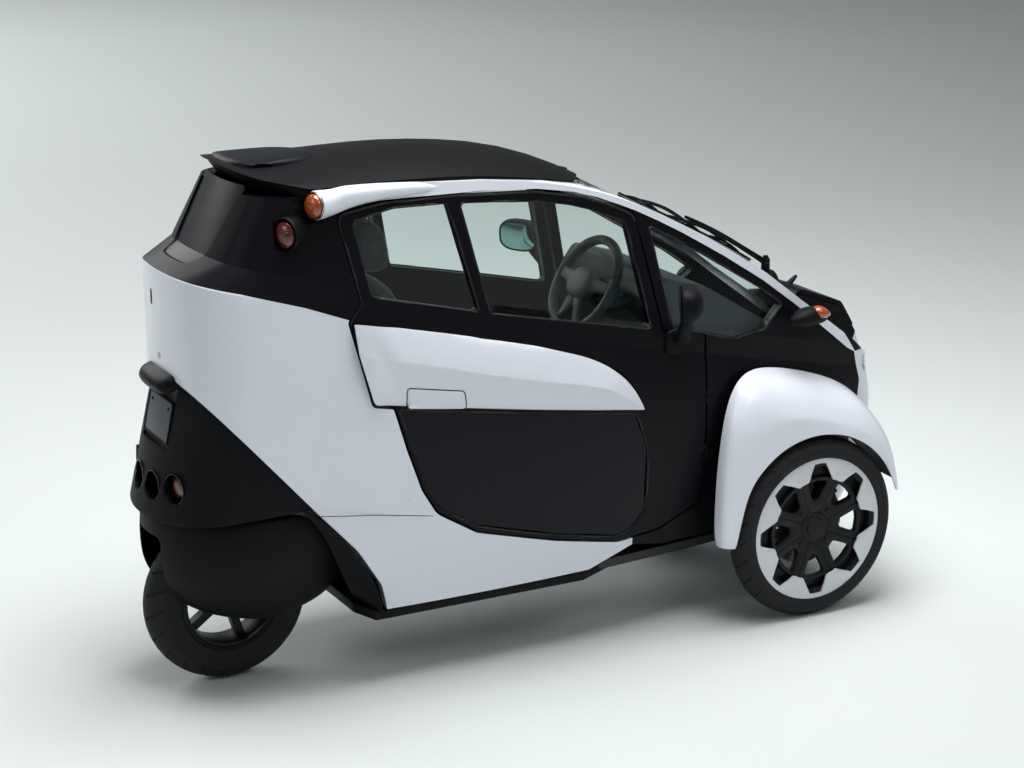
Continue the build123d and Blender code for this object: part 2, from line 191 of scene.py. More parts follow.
def plate(name, points, push, edge=0.0, segments=2):
    """A flat outline pushed out to a thickness, with its edges rounded."""
    piece = loop_of(name, points, "NGON")
    edit(
        piece,
        lambda: bpy.ops.mesh.extrude_region_move(TRANSFORM_OT_translate={"value": tuple(push)}),
        lambda: bpy.ops.mesh.select_all(action="SELECT"),
        lambda: bpy.ops.mesh.normals_make_consistent(inside=False),
    )
    if edge:
        bevelled(piece, edge, 35, segments)
    return piece


def ring_plate(name, outer, inner, push, edge=0.0, segments=2):
    """A flat ring between two loops with as many points each, pushed out to a thickness."""
    piece = joined(name, [loop_of(name, outer), loop_of("inner", inner)])
    edit(
        piece,
        lambda: bpy.ops.mesh.bridge_edge_loops(),
        lambda: bpy.ops.mesh.select_all(action="SELECT"),
        lambda: bpy.ops.mesh.extrude_region_move(TRANSFORM_OT_translate={"value": tuple(push)}),
    )
    tidy(piece)
    if edge:
        bevelled(piece, edge, 40, segments)
    return piece


def sheet_of(name, rows, closed=False):
    """A grid whose corners are put in place, row by row. Closed joins each row's end to its start."""
    count, height = len(rows[0]), len(rows)
    bpy.ops.object.select_all(action="DESELECT")
    bpy.ops.mesh.primitive_grid_add(x_subdivisions=count - 1, y_subdivisions=height - 1, size=1)
    piece = bpy.context.object
    piece.name = piece.data.name = name
    for row, points in enumerate(rows):
        for column, point in enumerate(points):
            piece.data.vertices[row * count + column].co = point
    return tidy(piece, 1e-6) if closed else piece


def rounded(points, radii, segments=6):
    """Rounds the corners of a flat outline. Points are pairs; returns more pairs."""
    result, n = [], len(points)
    for i, (px, py) in enumerate(points):
        r = radii[i] if hasattr(radii, "__len__") else radii
        (ax, ay), (bx, by) = points[i - 1], points[(i + 1) % n]
        la, lb = hypot(ax - px, ay - py), hypot(bx - px, by - py)
        u, v = ((ax - px) / la, (ay - py) / la), ((bx - px) / lb, (by - py) / lb)
        if not r:
            result.append((px, py))
            continue
        r = min(r, la / 2.05, lb / 2.05)
        for k in range(segments + 1):
            t = k / segments
            a, b, c = (1 - t) ** 2, 2 * t * (1 - t), t * t
            result.append(
                (
                    a * (px + u[0] * r) + b * px + c * (px + v[0] * r),
                    a * (py + u[1] * r) + b * py + c * (py + v[1] * r),
                )
            )
    return result


def resampled(points, count, closed=True):
    """That many points at equal steps along a run of 2-D or 3-D points."""
    run = [Vector(p) for p in points] + ([Vector(points[0])] if closed else [])
    lengths = [(b - a).length for a, b in zip(run, run[1:])]
    total, result = sum(lengths), []
    for k in range(count):
        want, i = total * k / (count if closed else count - 1), 0
        while i < len(lengths) - 1 and want > lengths[i]:
            want -= lengths[i]
            i += 1
        result.append(run[i].lerp(run[i + 1], min(1, want / max(lengths[i], 1e-9))))
    return result


def tube(name, points, radius, closed=False, flat=None, resolution=3, smooth=True):
    """A round bar along the points, from a curve that is made a mesh."""
    curve = bpy.data.curves.new(name, "CURVE")
    curve.dimensions = "3D"
    spline = curve.splines.new("NURBS" if smooth and len(points) > 2 else "POLY")
    spline.points.add(len(points) - 1)
    for target, point in zip(spline.points, points):
        target.co = (*point, 1)
    if spline.type == "NURBS":
        spline.order_u, spline.use_endpoint_u, spline.resolution_u = 3, True, 4
    spline.use_cyclic_u = closed
    curve.bevel_depth, curve.bevel_resolution, curve.use_fill_caps = radius, resolution, True
    piece = bpy.data.objects.new(name, curve)
    bpy.context.collection.objects.link(piece)
    only(piece)
    bpy.ops.object.convert(target="MESH")
    piece = bpy.context.object
    piece.data.name = name
    return tidy(piece)


def block(name, low, high, edge=0.0, segments=3):
    """A box between two corners with rounded edges."""
    bpy.ops.object.select_all(action="DESELECT")
    low, high = Vector(low), Vector(high)
    bpy.ops.mesh.primitive_cube_add(size=1)
    piece = bpy.context.object
    piece.name = piece.data.name = name
    size, middle = high - low, (high + low) / 2
    edit(
        piece,
        lambda: bpy.ops.transform.resize(value=size),
        lambda: bpy.ops.transform.translate(value=middle),
    )
    if edge:
        bevelled(piece, edge, 35, segments)
    return piece


def shaft(name, start, end, radius, edge=0.0, sides=32):
    """A round bar between two points, with its ends bevelled."""
    a, b = Vector(start), Vector(end)
    bpy.ops.object.select_all(action="DESELECT")
    bpy.ops.mesh.primitive_cylinder_add(vertices=sides, radius=radius, depth=(b - a).length)
    piece = bpy.context.object
    piece.name = piece.data.name = name
    turn = Vector((0, 0, 1)).rotation_difference(b - a).to_matrix().to_4x4()
    piece.data.transform(Matrix.Translation((a + b) / 2) @ turn)
    if edge:
        bevelled(piece, edge, 50)
    return piece


def finish(piece, material, body, replaces=(), smooth=38):
    """Gives a piece its finish, shading and body, and hides the nodes that it stands for."""
    piece.data.materials.clear()
    piece.data.materials.append(MATERIALS[material])
    only(piece)
    if smooth:
        bpy.ops.object.shade_smooth_by_angle(angle=radians(smooth))
    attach(piece, body)
    if replaces:
        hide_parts(*replaces)
    return piece


def surface_of(*names):
    """Something to drop points on: the CAD nodes' outer faces."""
    trees = []
    for name in names:
        mesh, matrix = NODES[name].data, NODES[name].matrix_world
        trees.append(
            BVHTree.FromPolygons(
                [matrix @ v.co for v in mesh.vertices], [tuple(p.vertices) for p in mesh.polygons],
            )
        )

    def hit(origin, direction):
        best = None
        for tree in trees:
            point, normal, _, distance = tree.ray_cast(Vector(origin), Vector(direction))
            if point and (best is None or distance < best[2]):
                best = (point, normal, distance)
        return best

    return hit


def outline_of(points, segments=5):
    """A CAD outline in millimetres, X, Z and corner radius, as rounded pairs in metres."""
    corners = [(p[2] if len(p) > 2 else 0) / 1000 for p in points]
    return rounded([(p[0] / 1000, p[1] / 1000) for p in points], corners, segments)


def oval(centre, u, v, width, height, power=2.0, count=32):
    """A loop like an ellipse, squarer as the power rises. Width and height are whole sizes."""
    centre, u, v = Vector(centre), Vector(u).normalized(), Vector(v).normalized()
    result = []
    for k in range(count):
        a = 2 * pi * k / count
        c, s = cos(a), sin(a)
        result.append(
            centre
            + u * (width / 2 * abs(c) ** (2 / power) * (1 if c >= 0 else -1))
            + v * (height / 2 * abs(s) ** (2 / power) * (1 if s >= 0 else -1))
        )
    return result


def stations(spot, along, u, v, sizes, power=2.0, count=32):
    """Ovals along a line. A size is the distance along it, the width and, if not round, the height."""
    return [oval(spot + along * size[0], u, v, size[1], size[-1], power, count) for size in sizes]


def placed_ovals(rows, sign, u, v, power=2.0, count=32):
    """Ovals at their own places. A row is X, distance from the middle, Z, width and height."""
    return [oval((x, sign * y, z), u, v, w, h, power, count) for x, y, z, w, h in rows]


def lofted(name, loops, open_ends=False, levels=1):
    """A skin over a run of loops with as many points each, its ends closed unless they stay open."""
    rows = [list(loop) + [loop[0]] for loop in loops]
    piece = sheet_of(name, rows, closed=True)
    if not open_ends:
        edit(piece, lambda: bpy.ops.mesh.fill_holes(sides=0))
    if levels:
        subdivided(piece, levels)
    return tidy(piece)


def on_skin(points, sign, *names, jump=0.014, reach=0.9):
    """Pairs of X and Z put on the skin seen from the side; a point that falls through a gap takes its
    neighbours' depth."""
    hit = surface_of(*names)
    found = [hit((x, sign * reach, z), (0, -sign, 0)) for x, z in points]
    depths = [f[0].y if f else None for f in found]
    good = [d for d in depths if d is not None]
    if not good:
        raise RuntimeError("nothing under these points")
    n = len(points)
    for i in range(n):
        near = [depths[(i + k) % n] for k in (-3, -2, -1, 1, 2, 3) if depths[(i + k) % n] is not None]
        best = max(near, key=lambda d: d * sign) if near else max(good, key=lambda d: d * sign)
        if depths[i] is None or (best - depths[i]) * sign > jump:
            depths[i] = sorted(near, key=lambda d: d * sign)[len(near) // 2] if near else best
    return [Vector((x, d, z)) for (x, z), d in zip(points, depths)]


def bead(name, points, sign, radius, *names, closed=True, step=0.012, sink=0.0):
    """A rubber bead lying on the skin along an outline seen from the side."""
    total = sum(
        hypot(b[0] - a[0], b[1] - a[1])
        for a, b in zip(points, points[1:] + (points[:1] if closed else []))
    )
    run = resampled([(x, z, 0) for x, z in points], max(8, int(total / step)), closed)
    laid = on_skin([(p.x, p.y) for p in run], sign, *names)
    depths = [p.y for p in laid]
    for _ in range(4):
        before = depths[-1:] + depths[:-1] if closed else depths[:1] + depths[:-1]
        after = depths[1:] + (depths[:1] if closed else depths[-1:])
        depths = [(b + 2 * d + a) / 4 for b, d, a in zip(before, depths, after)]
    laid = [Vector((p.x, d - sign * sink, p.z)) for p, d in zip(laid, depths)]
    return tube(name, laid, radius, closed, resolution=1)


# ---- finishes ----
MATERIALS = {}


def material(name, roughness, colour, **settings):
    """A new material with its shader; returns the tree and the shader."""
    mat = bpy.data.materials.new(name)
    mat.use_nodes = True
    tree = mat.node_tree
    tree.nodes.clear()
    shader = add_node(tree, "ShaderNodeBsdfPrincipled", Base_Color=colour, Roughness=roughness, **settings)
    add_node(tree, "ShaderNodeOutputMaterial", [("Surface", shader.outputs["BSDF"])])
    MATERIALS[name] = mat
    return tree, shader


def place_of(tree, scale=(1, 1, 1), location=(0, 0, 0), rotation=(0, 0, 0)):
    """Object coordinates in metres, through a Mapping node."""
    where = add_node(tree, "ShaderNodeTexCoord")
    mapping = add_node(
        tree, "ShaderNodeMapping", [("Vector", where.outputs["Object"])],
        Scale=scale, Location=location, Rotation=rotation,
    )
    return mapping.outputs["Vector"]


def texture(tree, kind, scale, **settings):
    """A procedural texture in object space, this many features to the metre."""
    return add_node(tree, "ShaderNodeTex" + kind, [("Vector", place_of(tree))], Scale=scale, **settings)


def relief(tree, shader, height, strength, depth, socket="Normal"):
    """Relief on the surface or, through Coat Normal, on the lacquer over it."""
    bump = add_node(tree, "ShaderNodeBump", [("Height", height)], Strength=strength, Distance=depth)
    tree.links.new(bump.outputs["Normal"], shader.inputs[socket])


def two_colours(tree, shader, factor, low, high):
    """Base colour that goes from one value to the other as the factor rises."""
    mix = add_node(tree, "ShaderNodeMix", [("Factor", factor)], data_type="RGBA")
    mix.inputs[6].default_value, mix.inputs[7].default_value = low, high
    tree.links.new(mix.outputs[2], shader.inputs["Base Color"])


def grain(tree, shader, per_metre, depth, detail=2.0, strength=1.0, roughness=None, spread=0.06):
    """Fine relief from noise whose grains are 1/per_metre across, and a matching drift in roughness."""
    noise = texture(tree, "Noise", per_metre, Detail=detail, Roughness=0.55)
    relief(tree, shader, noise.outputs["Fac"], strength, depth)
    if roughness is not None:
        drift = texture(tree, "Noise", 9.0, Detail=3.0, Roughness=0.6)
        ranged = add_node(
            tree, "ShaderNodeMapRange", [("Value", drift.outputs["Fac"])],
            To_Min=roughness - spread, To_Max=roughness + spread,
        )
        tree.links.new(ranged.outputs["Result"], shader.inputs["Roughness"])


def shaded_colour(tree, shader, light, dark, per_metre=3.0, detail=3.0):
    """Base colour that drifts between two close values, as dust and handling leave it."""
    noise = texture(tree, "Noise", per_metre, Detail=detail)
    two_colours(tree, shader, noise.outputs["Fac"], light, dark)


class CarColours(bpy.types.PropertyGroup):
    """The colours that a user would change."""

    def colour(label, code, tells):
        return bpy.props.FloatVectorProperty(
            name=label, description=tells, subtype="COLOR", size=4, min=0, max=1, default=linear(code)
        )

    body: colour("Body", "#E2E5EE", "Pearl white enamel on the shells, rails and wheel covers")
    panels: colour("Dark panels", "#0B0A10", "Satin near-black enamel, slightly violet")
    plastic: colour("Plastic", "#09090C", "Grained black ABS")
    rubber: colour("Rubber", "#151418", "Tyres")
    covers: colour("Wheel covers", "#C6C8CC", "Silver paint on the front wheel covers")
    cloth: colour("Seat cloth", "#2A2C31", "Woven seat cloth")
    amber: colour("Amber lens", "#C2531C", "Turn lamps")
    red: colour("Red lens", "#63130F", "Tail and stop lamps")
    glass: colour("Glass", "#F4FCFA", "Tint of the window glass")


class CarSizes(bpy.types.PropertyGroup):
    """The sizes that a user would change."""

    tread_depth: bpy.props.FloatProperty(
        name="Tread depth", description="Depth of the tyre grooves",
        default=0.005, min=0.001, max=0.009, unit="LENGTH",
    )
    seal: bpy.props.FloatProperty(
        name="Seal", description="Radius of the rubber round the panes",
        default=0.0032, min=0.001, max=0.006, unit="LENGTH",
    )
    fender_wall: bpy.props.FloatProperty(
        name="Wheel cover wall", description="Thickness of the wheel covers",
        default=0.004, min=0.002, max=0.01, unit="LENGTH",
    )


class CAR_OT_materials(bpy.types.Operator):
    """Make the finishes and put them on the CAD nodes"""

    bl_idname = "car.materials"
    bl_label = "Finishes"

    def execute(self, context):
        colours = context.scene.car_colours
        # Pearl enamel: wet-sprayed colour under clear lacquer, so a soft base with a sharp reflection
        tree, shader = material("pearl_enamel", 0.34, colours.body, Coat_Weight=0.85, Coat_Roughness=0.06)
        # Mica is 0.05 mm across; drawn at 1 mm so that it shows
        flakes = texture(tree, "Voronoi", 900.0)
        two_colours(tree, shader, flakes.outputs["Distance"], colours.body, linear("#D8DCE7"))
        peel = texture(tree, "Noise", 140.0, Detail=1.0)
        relief(tree, shader, peel.outputs["Fac"], 0.12, 0.0004, "Coat Normal")

        # Satin enamel: matting agent leaves a broad soft highlight
        tree, shader = material("satin_enamel", 0.4, colours.panels, Specular_IOR_Level=0.12)
        shaded_colour(tree, shader, colours.panels, linear("#0E0D13"), 2.0)
        grain(tree, shader, 420.0, 0.0001, 2.0, 0.3, 0.4, 0.03)

        # Hood enamel: the same black, masked off at the lamp panel, which is white
        tree, shader = material("masked_hood_enamel", 0.38, colours.panels, Specular_IOR_Level=0.12)
        split = add_node(tree, "ShaderNodeSeparateXYZ", [("Vector", place_of(tree))])
        slope = add_node(tree, "ShaderNodeMath", [(0, split.outputs["Z"])], operation="MULTIPLY_ADD")
        slope.inputs[1].default_value, slope.inputs[2].default_value = -0.35, 0.0
        line = add_node(
            tree, "ShaderNodeMath", [(0, split.outputs["X"]), (1, slope.outputs[0])], operation="ADD",
        )
        mask = add_node(tree, "ShaderNodeMath", [(0, line.outputs[0])], operation="GREATER_THAN")
        mask.inputs[1].default_value = 0.822
        two_colours(tree, shader, mask.outputs[0], colours.panels, colours.body)

        # Roof enamel: the same black, flatted further, so that it takes a broad grey sheen from above
        tree, shader = material("matt_roof_enamel", 0.4, linear("#09090C"), Specular_IOR_Level=0.08)
        shaded_colour(tree, shader, linear("#09090C"), linear("#0C0C10"), 3.0)
        grain(tree, shader, 600.0, 0.0001, 2.0, 0.3, 0.5, 0.04)

        # Moulded ABS: spark-eroded grain of about 0.6 mm, dull
        tree, shader = material("moulded_abs", 0.48, colours.plastic, Specular_IOR_Level=0.13)
        shaded_colour(tree, shader, colours.plastic, linear("#0D0D11"), 4.0)
        grain(tree, shader, 1600.0, 0.0002, 3.0, 0.5, 0.55, 0.05)

        # Gloss ABS: highly polished mould, hard reflection
        tree, shader = material(
            "gloss_abs", 0.2, linear("#0A0A0D"), Specular_IOR_Level=0.3, Coat_Weight=0.1,
            Coat_Roughness=0.08,
        )
        grain(tree, shader, 60.0, 0.0001, 1.0, 0.1)

        # Window glass: float glass with green iron tint, lets most light straight through
        tree, shader = material(
            "tinted_float_glass", 0.0, colours.glass,
            IOR=1.02, Transmission_Weight=1.0, Coat_Weight=0.5, Coat_Roughness=0.02,
        )
        ripple = texture(tree, "Noise", 3.0, Detail=1.0)
        two_colours(tree, shader, ripple.outputs["Fac"], colours.glass, linear("#F2FAF8"))

        # Smoked acrylic: body-tinted sheet, nearly opaque and mirror smooth
        tree, shader = material(
            "smoked_acrylic", 0.12, linear("#16141B"), IOR=1.49, Specular_IOR_Level=0.15, Coat_Weight=0.03,
            Coat_Roughness=0.06,
        )
        shaded_colour(tree, shader, linear("#0A0910"), linear("#110F18"), 2.2)
        grain(tree, shader, 3.0, 0.0006, 1.0, 0.12)

        # Rear window: body-tinted float glass, softened by the film of dust on it
        tree, shader = material(
            "smoked_float_glass", 0.3, linear("#14171C"), IOR=1.5, Specular_IOR_Level=0.14,
        )
        shaded_colour(tree, shader, linear("#12151A"), linear("#191D23"), 2.0)

        # Lenses: injection-moulded acrylic with fluted backs
        for name, colour in (("amber_acrylic", colours.amber), ("red_acrylic", colours.red)):
            tree, shader = material(
                name, 0.1, colour, IOR=1.49, Coat_Weight=1.0, Coat_Roughness=0.02, Subsurface_Weight=0.0,
            )
            # Pillows of 6.5 mm
            flutes = texture(tree, "Voronoi", 150.0)
            relief(tree, shader, flutes.outputs["Distance"], 0.5, 0.002)
            dark = tuple(c * 0.35 for c in colour[:3]) + (1,)
            two_colours(tree, shader, flutes.outputs["Distance"], colour, dark)

        # Clear polycarbonate over the headlamps
        tree, shader = material(
            "clear_polycarbonate", 0.03, linear("#E8EDF0"), IOR=1.58, Transmission_Weight=1.0, Alpha=0.5,
        )
        grain(tree, shader, 90.0, 0.0003, 1.0, 0.1)

        # Silver paint on moulded covers: fine aluminium flake
        tree, shader = material(
            "silver_paint", 0.38, colours.covers, Metallic=0.35, Coat_Weight=0.3, Coat_Roughness=0.15,
        )
        shaded_colour(tree, shader, colours.covers, linear("#D0D2D6"), 700.0, 1.0)
        grain(tree, shader, 500.0, 0.0001, 1.0, 0.2)

        # Cast aluminium, painted black
        tree, shader = material("black_cast_aluminium", 0.42, linear("#0B0A0D"), Specular_IOR_Level=0.22)
        shaded_colour(tree, shader, linear("#0B0A0D"), linear("#121115"), 30.0)
        grain(tree, shader, 900.0, 0.0002, 2.0, 0.35, 0.45, 0.06)

        # Turned steel discs: lathe rings 0.8 mm apart with a little rust tint
        tree, shader = material("turned_steel", 0.4, linear("#8A887C"), Metallic=0.75)
        for_disc = place_of(tree, location=(-FRONT_WHEEL.x, 0, -FRONT_WHEEL.z))
        split = add_node(tree, "ShaderNodeSeparateXYZ", [("Vector", for_disc)])
        flat = add_node(
            tree, "ShaderNodeCombineXYZ", [("X", split.outputs["X"]), ("Y", split.outputs["Z"])],
        )
        rings = add_node(
            tree, "ShaderNodeTexWave", [("Vector", flat.outputs["Vector"])],
            wave_type="RINGS", rings_direction="SPHERICAL", Scale=190.0, Distortion=0.4,
        )
        relief(tree, shader, rings.outputs["Fac"], 0.25, 0.0003)
        shaded_colour(tree, shader, linear("#8A887C"), linear("#6E6A5C"), 22.0)

        # Tyre rubber: dull, with a fine pitted face and paler dust
        tree, shader = material("tyre_rubber", 0.62, colours.rubber, Specular_IOR_Level=0.35)
        shaded_colour(tree, shader, colours.rubber, linear("#131215"), 26.0)
        grain(tree, shader, 1100.0, 0.0003, 3.0, 0.5, 0.72, 0.08)

        # Seal rubber: extruded EPDM, smoother than a tyre
        tree, shader = material("seal_rubber", 0.5, linear("#0B0B0D"))
        grain(tree, shader, 700.0, 0.0001, 1.0, 0.3, 0.5, 0.05)

        # Woven cloth: threads 0.9 mm apart, drawn at 2.5 mm so that they show
        tree, shader = material("woven_cloth", 0.88, colours.cloth, Sheen_Weight=0.35, Sheen_Roughness=0.5)
        warp = texture(tree, "Wave", 64.0, bands_direction="Y", Distortion=0.6)
        weft = texture(tree, "Wave", 64.0, bands_direction="Z", Distortion=0.6)
        weave = add_node(
            tree, "ShaderNodeMath", [(0, warp.outputs["Fac"]), (1, weft.outputs["Fac"])],
            operation="MULTIPLY",
        )
        relief(tree, shader, weave.outputs[0], 0.6, 0.0008)
        two_colours(tree, shader, weave.outputs[0], linear("#202227"), linear("#3A3D44"))

        # Soft-touch skin on the dashboard and steering wheel: leather-like cells of about 1.5 mm
        tree, shader = material("soft_touch_skin", 0.6, linear("#25272C"))
        cells = texture(tree, "Voronoi", 650.0)
        relief(tree, shader, cells.outputs["Distance"], 0.4, 0.0004)
        shaded_colour(tree, shader, linear("#25272C"), linear("#2E3137"), 5.0)

        # Mirror glass: silvered, with a faint blue-green cast
        tree, shader = material("silvered_glass", 0.02, linear("#7D9A98"), Metallic=1.0)
        grain(tree, shader, 4.0, 0.0002, 1.0, 0.05)

        # Powder-coated steel of the underbody
        tree, shader = material("powder_coated_steel", 0.5, linear("#16161A"))
        shaded_colour(tree, shader, linear("#16161A"), linear("#1D1D21"), 12.0)
        grain(tree, shader, 800.0, 0.0003, 2.0, 0.4, 0.5, 0.07)

        # Anodised plate: brushed sheet, dark grey
        tree, shader = material("anodised_sheet", 0.42, linear("#666A71"), Metallic=0.2)
        brush = add_node(
            tree, "ShaderNodeTexNoise", [("Vector", place_of(tree, scale=(1, 1, 40)))],
            Scale=60.0, Detail=2.0,
        )
        relief(tree, shader, brush.outputs["Fac"], 0.15, 0.0002)
        shaded_colour(tree, shader, linear("#55585E"), linear("#4C4F56"), 14.0)

        # Zinc-plated steel of screws and springs
        tree, shader = material("zinc_plated_steel", 0.35, linear("#A9ABAE"), Metallic=1.0)
        grain(tree, shader, 1200.0, 0.0001, 2.0, 0.3, 0.35, 0.08)

        wear = {
            "pearl_enamel": [
                "rear_shell", "arch_rails", "nose", "fender_*", "door_band_*", "door_handle_*",
            ],
            "satin_enamel": ["upper_shell", "front_side_panels", "door_shell_*"],
            "matt_roof_enamel": ["roof_panel"],
            "gloss_abs": ["spoiler"],
            "moulded_abs": ["tail_housing", "hugger", "plate_hood", "mirror_*", "wipers"],
            "soft_touch_skin": ["dashboard", "steering_wheel", "steering_column"],
            "tinted_float_glass": ["windscreen", "quarter_windows", "door_window_*"],
            "smoked_acrylic": ["door_pane_*"],
            "smoked_float_glass": ["rear_window"],
            "masked_hood_enamel": ["hood"],
            "clear_polycarbonate": ["headlamps"],
            "amber_acrylic": ["amber_lamps"],
            "red_acrylic": ["red_lamps"],
            "powder_coated_steel": [
                "floor_pan", "bulkhead", "suspension_arms", "knuckles", "rear_fork", "battery_block",
            ],
            "woven_cloth": ["driver_seat", "rear_seat"],
            "black_cast_aluminium": ["front_rim_*", "rear_rim"],
            "silver_paint": ["rim_cover_*"],
            "tyre_rubber": ["front_tyre_*", "rear_tyre"],
            "anodised_sheet": ["number_plate"],
        }
        for name, patterns in wear.items():
            for pattern in patterns:
                for side in ("left", "right") if "*" in pattern else ("",):
                    node = NODES[pattern.replace("*", side)]
                    node.data.materials.clear()
                    node.data.materials.append(MATERIALS[name])
        return {"FINISHED"}


# Wheel cover stations from the rear foot over the top to the front tip: arch edge, side, shoulder,
# crown, inner edge. Each point is X, distance out from the middle, Z.
FENDER = [
    [
        (0.492, 0.420, 0.262), (0.484, 0.421, 0.262), (0.464, 0.413, 0.262), (0.450, 0.394, 0.262),
        (0.450, 0.360, 0.262),
    ],
    [
        (0.522, 0.421, 0.420), (0.511, 0.421, 0.422), (0.478, 0.414, 0.428), (0.455, 0.395, 0.434),
        (0.456, 0.355, 0.440),
    ],
    [
        (0.570, 0.422, 0.482), (0.530, 0.419, 0.520), (0.496, 0.411, 0.540), (0.472, 0.391, 0.556),
        (0.471, 0.350, 0.566),
    ],
    [
        (0.618, 0.422, 0.521), (0.562, 0.418, 0.580), (0.523, 0.406, 0.625), (0.497, 0.382, 0.662),
        (0.497, 0.340, 0.682),
    ],
    [
        (0.662, 0.422, 0.545), (0.603, 0.416, 0.614), (0.566, 0.398, 0.680), (0.546, 0.368, 0.730),
        (0.548, 0.325, 0.752),
    ],
    [
        (0.715, 0.422, 0.561), (0.668, 0.415, 0.628), (0.640, 0.393, 0.688), (0.622, 0.356, 0.738),
        (0.628, 0.300, 0.763),
    ],
    [
        (0.775, 0.422, 0.567), (0.748, 0.415, 0.619), (0.743, 0.387, 0.676), (0.742, 0.345, 0.716),
        (0.748, 0.284, 0.737),
    ],
    [
        (0.850, 0.422, 0.557), (0.840, 0.415, 0.592), (0.848, 0.385, 0.648), (0.858, 0.338, 0.684),
        (0.868, 0.275, 0.700),
    ],
    [
        (0.920, 0.422, 0.528), (0.932, 0.414, 0.556), (0.950, 0.386, 0.610), (0.964, 0.338, 0.636),
        (0.976, 0.272, 0.648),
    ],
    [
        (0.981, 0.422, 0.482), (0.996, 0.414, 0.502), (1.014, 0.388, 0.546), (1.030, 0.340, 0.568),
        (1.048, 0.272, 0.570),
    ],
    [
        (1.022, 0.422, 0.430), (1.038, 0.415, 0.446), (1.057, 0.393, 0.480), (1.073, 0.350, 0.497),
        (1.090, 0.290, 0.492),
    ],
    [
        (1.046, 0.421, 0.382), (1.058, 0.416, 0.386), (1.074, 0.399, 0.396), (1.086, 0.368, 0.404),
        (1.093, 0.330, 0.408),
    ],
    [
        (1.057, 0.420, 0.347), (1.067, 0.415, 0.349), (1.080, 0.399, 0.354), (1.089, 0.370, 0.361),
        (1.095, 0.338, 0.367),
    ],
]


class CAR_OT_fenders(bpy.types.Operator):
    """Model the covers over the front wheels"""

    bl_idname = "car.fenders"
    bl_label = "Wheel covers"

    def execute(self, context):
        wall = context.scene.car_sizes.fender_wall
        rows = [[Vector((x, -y, z)) for x, y, z in station] for station in FENDER]
        cover = sheet_of("wheel_cover_right", rows)
        sharpness = cover.data.attributes.new("crease_edge", "FLOAT", "EDGE")
        for edge in cover.data.edges:
            columns = {v % 5 for v in edge.vertices}
            if columns == {1}:
                sharpness.data[edge.index].value = 0.45
        subdivided(cover, 3)
        outward(cover, 1, -1)
        thickened(cover, wall, use_even_offset=True)
        bevelled(cover, 0.0012, 50)
        left = copied(cover, "wheel_cover_left", Matrix.Scale(-1, 4, (0, 1, 0)))
        for piece, side in ((cover, "right"), (left, "left")):
            finish(piece, "pearl_enamel", "chassis", ["fender_" + side], 60)
        # Inner liners: the dark pressing that closes each arch behind its cover
        for side, sign in SIDES:
            centre = FRONT_WHEEL * Vector((1, sign, 1))
            arc = [radians(a) for a in range(24, 186, 6)]
            rows = [
                [
                    Vector((centre.x + r * cos(a), sign * y, centre.z + r * sin(a)))
                    for r, y in ((0.289, 0.418), (0.290, 0.380), (0.291, 0.335), (0.291, 0.305))
                ]
                for a in arc
            ]
            liner = sheet_of("arch_liner_" + side, rows)
            thickened(liner, 0.002, 0)
            finish(liner, "moulded_abs", "chassis")
        return {"FINISHED"}


# Outer half of each tyre's section: radius, and distance from the tread's middle line
FRONT_WALL = [
    (0.204, -0.031), (0.207, -0.0345), (0.213, -0.0350), (0.216, -0.0375), (0.222, -0.0385),
    (0.2235, -0.0400), (0.236, -0.0412), (0.2375, -0.0403), (0.240, -0.0403), (0.2415, -0.0413),
    (0.247, -0.0410),
]
REAR_WALL = [
    (0.142, -0.050), (0.146, -0.0545), (0.153, -0.0565), (0.160, -0.0575), (0.1615, -0.0592),
    (0.176, -0.0600), (0.1775, -0.0590), (0.181, -0.0590), (0.1825, -0.0600), (0.192, -0.0598),
]
# One of eight fingers of the silver cover, and one of eight sectors of the face: radius and degrees
FINGER = [
    (0.203, -5.7), (0.2035, 0), (0.203, 5.7), (0.179, 9.6), (0.1555, 13.6), (0.1535, 18.0),
    (0.1545, 22.5), (0.1535, 27.0),
]
SPOKE_SECTOR = [
    (0.046, -22.5), (0.046, 0), (0.046, 22.5), (0.08, 22.5), (0.12, 22.5), (0.158, 22.5),
    (0.158, 11.25), (0.158, 0), (0.158, -11.25), (0.158, -22.5), (0.12, -22.5), (0.08, -22.5),
]
# Window between two spokes: distance out along its middle, and across it
SPOKE_WINDOW = [(0.086, -0.011), (0.142, -0.036), (0.146, 0.0), (0.142, 0.036), (0.086, 0.011)]
DISC_SECTOR = [
    (0.062, -10), (0.062, 0), (0.062, 10), (0.088, 10), (0.126, 10), (0.126, 0), (0.126, -10),
    (0.088, -10),
]
# Turned parts: radius, and distance out along the axle from the wheel's middle plane
BARREL = [
    (0.2045, -0.036), (0.2045, 0.034), (0.198, 0.036), (0.190, 0.030), (0.186, 0.014),
    (0.157, 0.016), (0.157, 0.006), (0.184, 0.004), (0.186, -0.020), (0.192, -0.034),
]
HUB = [
    (0.0, -0.070), (0.026, -0.070), (0.030, -0.020), (0.049, -0.016), (0.049, 0.018),
    (0.044, 0.022), (0.030, 0.0235), (0.028, 0.027), (0.0, 0.0285),
]
DISC_CARRIER = [
    (0.030, -0.034), (0.066, -0.034), (0.066, -0.029), (0.045, -0.026), (0.040, -0.008),
    (0.030, -0.008),
]
REAR_LIP = [
    (0.1415, -0.052), (0.1415, 0.052), (0.136, 0.053), (0.130, 0.046), (0.124, 0.030),
    (0.124, -0.030), (0.130, -0.046), (0.136, -0.053),
]
DISC_Y = 0.358


def on_wheel(hub, r, degrees, y):
    """A place on a front wheel: radius and degrees round its hub, and distance from the car's middle."""
    a = radians(degrees)
    return Vector((hub.x + r * cos(a), y if hub.y > 0 else -y, hub.z + r * sin(a)))


